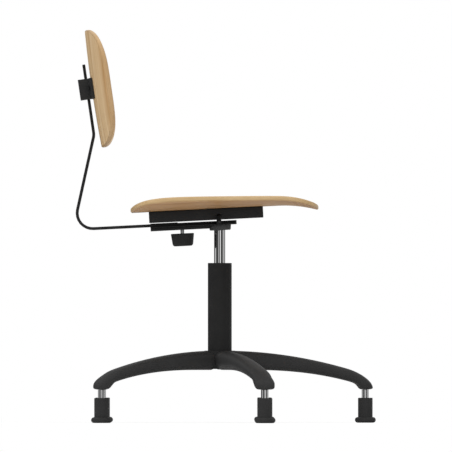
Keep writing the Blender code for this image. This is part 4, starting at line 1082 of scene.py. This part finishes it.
def grip_shape():
    """The lever's grip: rounded, slimmer below and hollow at its inner end for the lever."""
    low, high = local_box("lever_grip", CARRIER)
    arm_low, arm_high = local_box("lever_arm", CARRIER)
    centre_x = (low.x + high.x) / 2
    half_x = (high.x - low.x) / 2
    centre_z = (low.z + high.z) / 2
    half_z = (high.z - low.z) / 2
    stations = []
    for i in range(GRIP_END_STEPS + 1):
        angle = math.pi / 2 * i / GRIP_END_STEPS
        stations.append((low.y + GRIP_END * (1 - math.cos(angle)), GRIP_END * (1 - math.sin(angle))))
    stations += [(high.y - GRIP_MOUTH_EDGE, 0.0), (high.y, GRIP_MOUTH_EDGE)]
    rings = []
    for y, inset in stations:
        ring = []
        for x, z in superellipse(half_x - inset, half_z - inset, GRIP_ROUNDNESS, GRIP_SIDES):
            slimmed = 1 - GRIP_TAPER * max(0.0, -z / half_z)
            ring.append((centre_x + x * slimmed, y, centre_z + z))
        rings.append(ring)
    socket_x = (arm_high.x - arm_low.x) / 2 + GRIP_CLEARANCE
    socket_z = (arm_high.z - arm_low.z) / 2 + GRIP_CLEARANCE
    arm_z = (arm_high.z + arm_low.z) / 2
    socket = superellipse(socket_x, socket_z, GRIP_SOCKET_SQUARENESS, GRIP_SIDES)
    for y in (high.y, arm_low.y - GRIP_CLEARANCE):
        rings.append([(centre_x + x, y, arm_z + z) for x, z in socket])
    return loft(rings)


# The grip takes the darker copy of the black plastic, as painted shade
dressed("grip", grip_shape(), CARRIER, "lever_grip", "grip_plastic")


# Screws of the shells

def polygon(radius, z, corners, count):
    """Points round a regular polygon with its first corner on the x axis."""
    wedge = 2 * math.pi / corners
    ring = []
    for angle in around(count):
        reach = radius * math.cos(wedge / 2) / math.cos(angle % wedge - wedge / 2)
        ring.append((reach * math.cos(angle), reach * math.sin(angle), z))
    return ring


def screw_shape(node, matrix, head_height):
    """A cap screw with a hexagon socket; its frame has z from the head's face to the tip."""
    low, high = local_box(node, matrix)
    head = (high.x - low.x) / 2
    shank = head * SCREW_SHANK_SHARE
    socket = head * SCREW_SOCKET_SHARE
    socket_floor = low.z + head_height * SCREW_SOCKET_DEPTH_SHARE
    under_head = low.z + head_height
    corners = [
        (socket, low.z, 0.0),
        (head, low.z, SCREW_EDGE),
        (head, under_head, SCREW_EDGE / 2),
        (shank, under_head, 0.0),
        (shank, high.z - SCREW_EDGE, 0.0),
        (shank - SCREW_EDGE, high.z, 0.0),
    ]
    rings = [polygon(socket, z, SCREW_SOCKET_CORNERS, SCREW_SIDES) for z in (socket_floor, low.z)]
    rings += [circle(radius, z, SCREW_SIDES) for radius, z in rounded(corners)[1:]]
    shape = loft(rings)
    centre = ((low.x + high.x) / 2, (low.y + high.y) / 2, 0.0)
    bmesh.ops.translate(shape, verts=shape.verts, vec=centre)
    return shape


for number in range(1, SEAT_SCREW_COUNT + 1):
    node = f"seat_screw_{number}"
    dressed(node + "_cap", screw_shape(node, CARRIER, SEAT_SCREW_HEAD_HEIGHT), CARRIER, node)
into_back = BACK @ Matrix.Rotation(math.pi / 2, 4, "Y")
for number in range(1, BACK_SCREW_COUNT + 1):
    node = f"back_screw_{number}"
    dressed(node + "_cap", screw_shape(node, into_back, BACK_SCREW_HEAD_HEIGHT), into_back, node)


# Stage

def strip_stops():
    """Upright light strips round a dark horizon, placed by where a chrome cylinder shows them."""
    stops = [(0.0, grey(STRIP_GROUND))]
    for middle, level in LIGHT_STRIPS:
        for side, before, after in ((-0.5, STRIP_GROUND, level), (0.5, level, STRIP_GROUND)):
            across = min(1.0, middle + side * STRIP_WIDTH)
            place = 0.5 + math.asin(across) / math.pi
            stops.append((place - STRIP_BLEND, grey(before)))
            stops.append((place + STRIP_BLEND, grey(after)))
    return stops


def build_world():
    """White to the camera, light strips for what is glossy and soft light for the rest."""
    world = bpy.data.worlds.new("studio")
    scene.world = world
    world.use_nodes = True
    tree = world.node_tree
    background = tree.nodes["Background"]
    path = add(tree, "ShaderNodeLightPath")
    direction = add(tree, "ShaderNodeTexCoord").outputs["Generated"]
    x, y, z = add(tree, "ShaderNodeSeparateXYZ", Vector=direction).outputs
    azimuth = math_node(tree, "ARCTAN2", x, math_node(tree, "MULTIPLY", y, -1.0))
    turned = math_node(tree, "MULTIPLY_ADD", azimuth, 0.5 / math.pi, 0.5)
    strips = ramp(tree, turned, strip_stops())
    gain = 1 / (SKY_END - SKY_START)
    height = contrast(tree, z, gain, SKY_START * gain)
    glossy = mixed(tree, height, strips, grey(SKY_GLOSS))
    seen = mixed(tree, path.outputs["Is Glossy Ray"], grey(AMBIENT), glossy)
    seen = mixed(tree, path.outputs["Is Camera Ray"], seen, WHITE)
    tree.links.new(seen, background.inputs["Color"])


def floor_look():
    """Pale and matt, with a faint cloud, and whiter to the camera the further it is from the chair."""
    material, tree, shader = new_material("floor_look")
    to_camera = add(tree, "ShaderNodeLightPath").outputs["Is Camera Ray"]
    place = object_vector(tree)
    cloud = noise(tree, place, FLOOR_CLOUD_SCALE, detail=2.0)
    seen = ramp(tree, cloud, ((0.0, grey(FLOOR_SEEN - FLOOR_CLOUD)), (1.0, grey(FLOOR_SEEN))))
    colour = mixed(tree, to_camera, grey(FLOOR_BOUNCE), seen)
    tree.links.new(colour, shader.inputs["Base Color"])
    shader.inputs["Roughness"].default_value = FLOOR_ROUGHNESS
    shader.inputs["Specular IOR Level"].default_value = 0.0
    glow = add(tree, "ShaderNodeEmission", Color=opaque(WHITE), Strength=1.0)
    away = add(tree, "ShaderNodeVectorMath", {"operation": "LENGTH"}, i0=place).outputs["Value"]
    fade = add(tree, "ShaderNodeMapRange", {"interpolation_type": "SMOOTHSTEP"}, Value=away,
               From_Min=FLOOR_FADE_START, From_Max=FLOOR_FADE_END, To_Min=FLOOR_WHITE)
    share = math_node(tree, "MULTIPLY", to_camera, fade.outputs["Result"])
    both = add(tree, "ShaderNodeMixShader", i0=share, i1=shader.outputs[0], i2=glow.outputs[0])
    tree.links.new(both.outputs[0], tree.nodes["Material Output"].inputs["Surface"])
    return material


def build_floor():
    """A plain pale floor that keeps the chair's shadow and fades into the white round it."""
    shape = bmesh.new()
    bmesh.ops.create_circle(shape, cap_ends=True, segments=FLOOR_SIDES, radius=FLOOR_RADIUS)
    mesh = bpy.data.meshes.new("floor")
    shape.to_mesh(mesh)
    shape.free()
    mesh.materials.append(floor_look())
    floor = bpy.data.objects.new("floor", mesh)
    floor.location.z = -FLOOR_DROP
    scene.collection.objects.link(floor)


def build_lamp(name, place, aim, width, power):
    """A soft square lamp that looks at a point and isn't mirrored."""
    lamp = bpy.data.lights.new(name, "AREA")
    lamp.shape = "SQUARE"
    lamp.size = width
    lamp.energy = power
    holder = bpy.data.objects.new(name, lamp)
    holder.location = place
    holder.rotation_euler = (Vector(aim) - Vector(place)).to_track_quat("-Z", "Y").to_euler()
    holder.visible_glossy = False
    scene.collection.objects.link(holder)


def build_camera():
    """Far off on the sitter's right and near the floor, so that the chair is seen square from its side."""
    middle_x = column_x + (PHOTO_SIZE / 2 - PHOTO_COLUMN) * SCALE
    middle_z = (PHOTO_FLOOR - PHOTO_SIZE / 2) * SCALE
    distance = PHOTO_SIZE * SCALE * CAMERA_LENS / CAMERA_SENSOR
    camera = bpy.data.cameras.new("camera")
    camera.lens = CAMERA_LENS
    camera.sensor_width = CAMERA_SENSOR
    camera.clip_start = CAMERA_NEAR
    camera.clip_end = 2 * distance
    holder = bpy.data.objects.new("camera", camera)
    holder.location = (middle_x, -distance, CAMERA_HEIGHT)
    aim = Vector((middle_x, 0.0, middle_z)) - holder.location
    holder.rotation_euler = aim.to_track_quat("-Z", "Y").to_euler()
    scene.collection.objects.link(holder)
    scene.camera = holder


build_world()
build_floor()
for lamp in LAMPS:
    build_lamp(*lamp)
build_camera()
scene.view_settings.view_transform = "Standard"
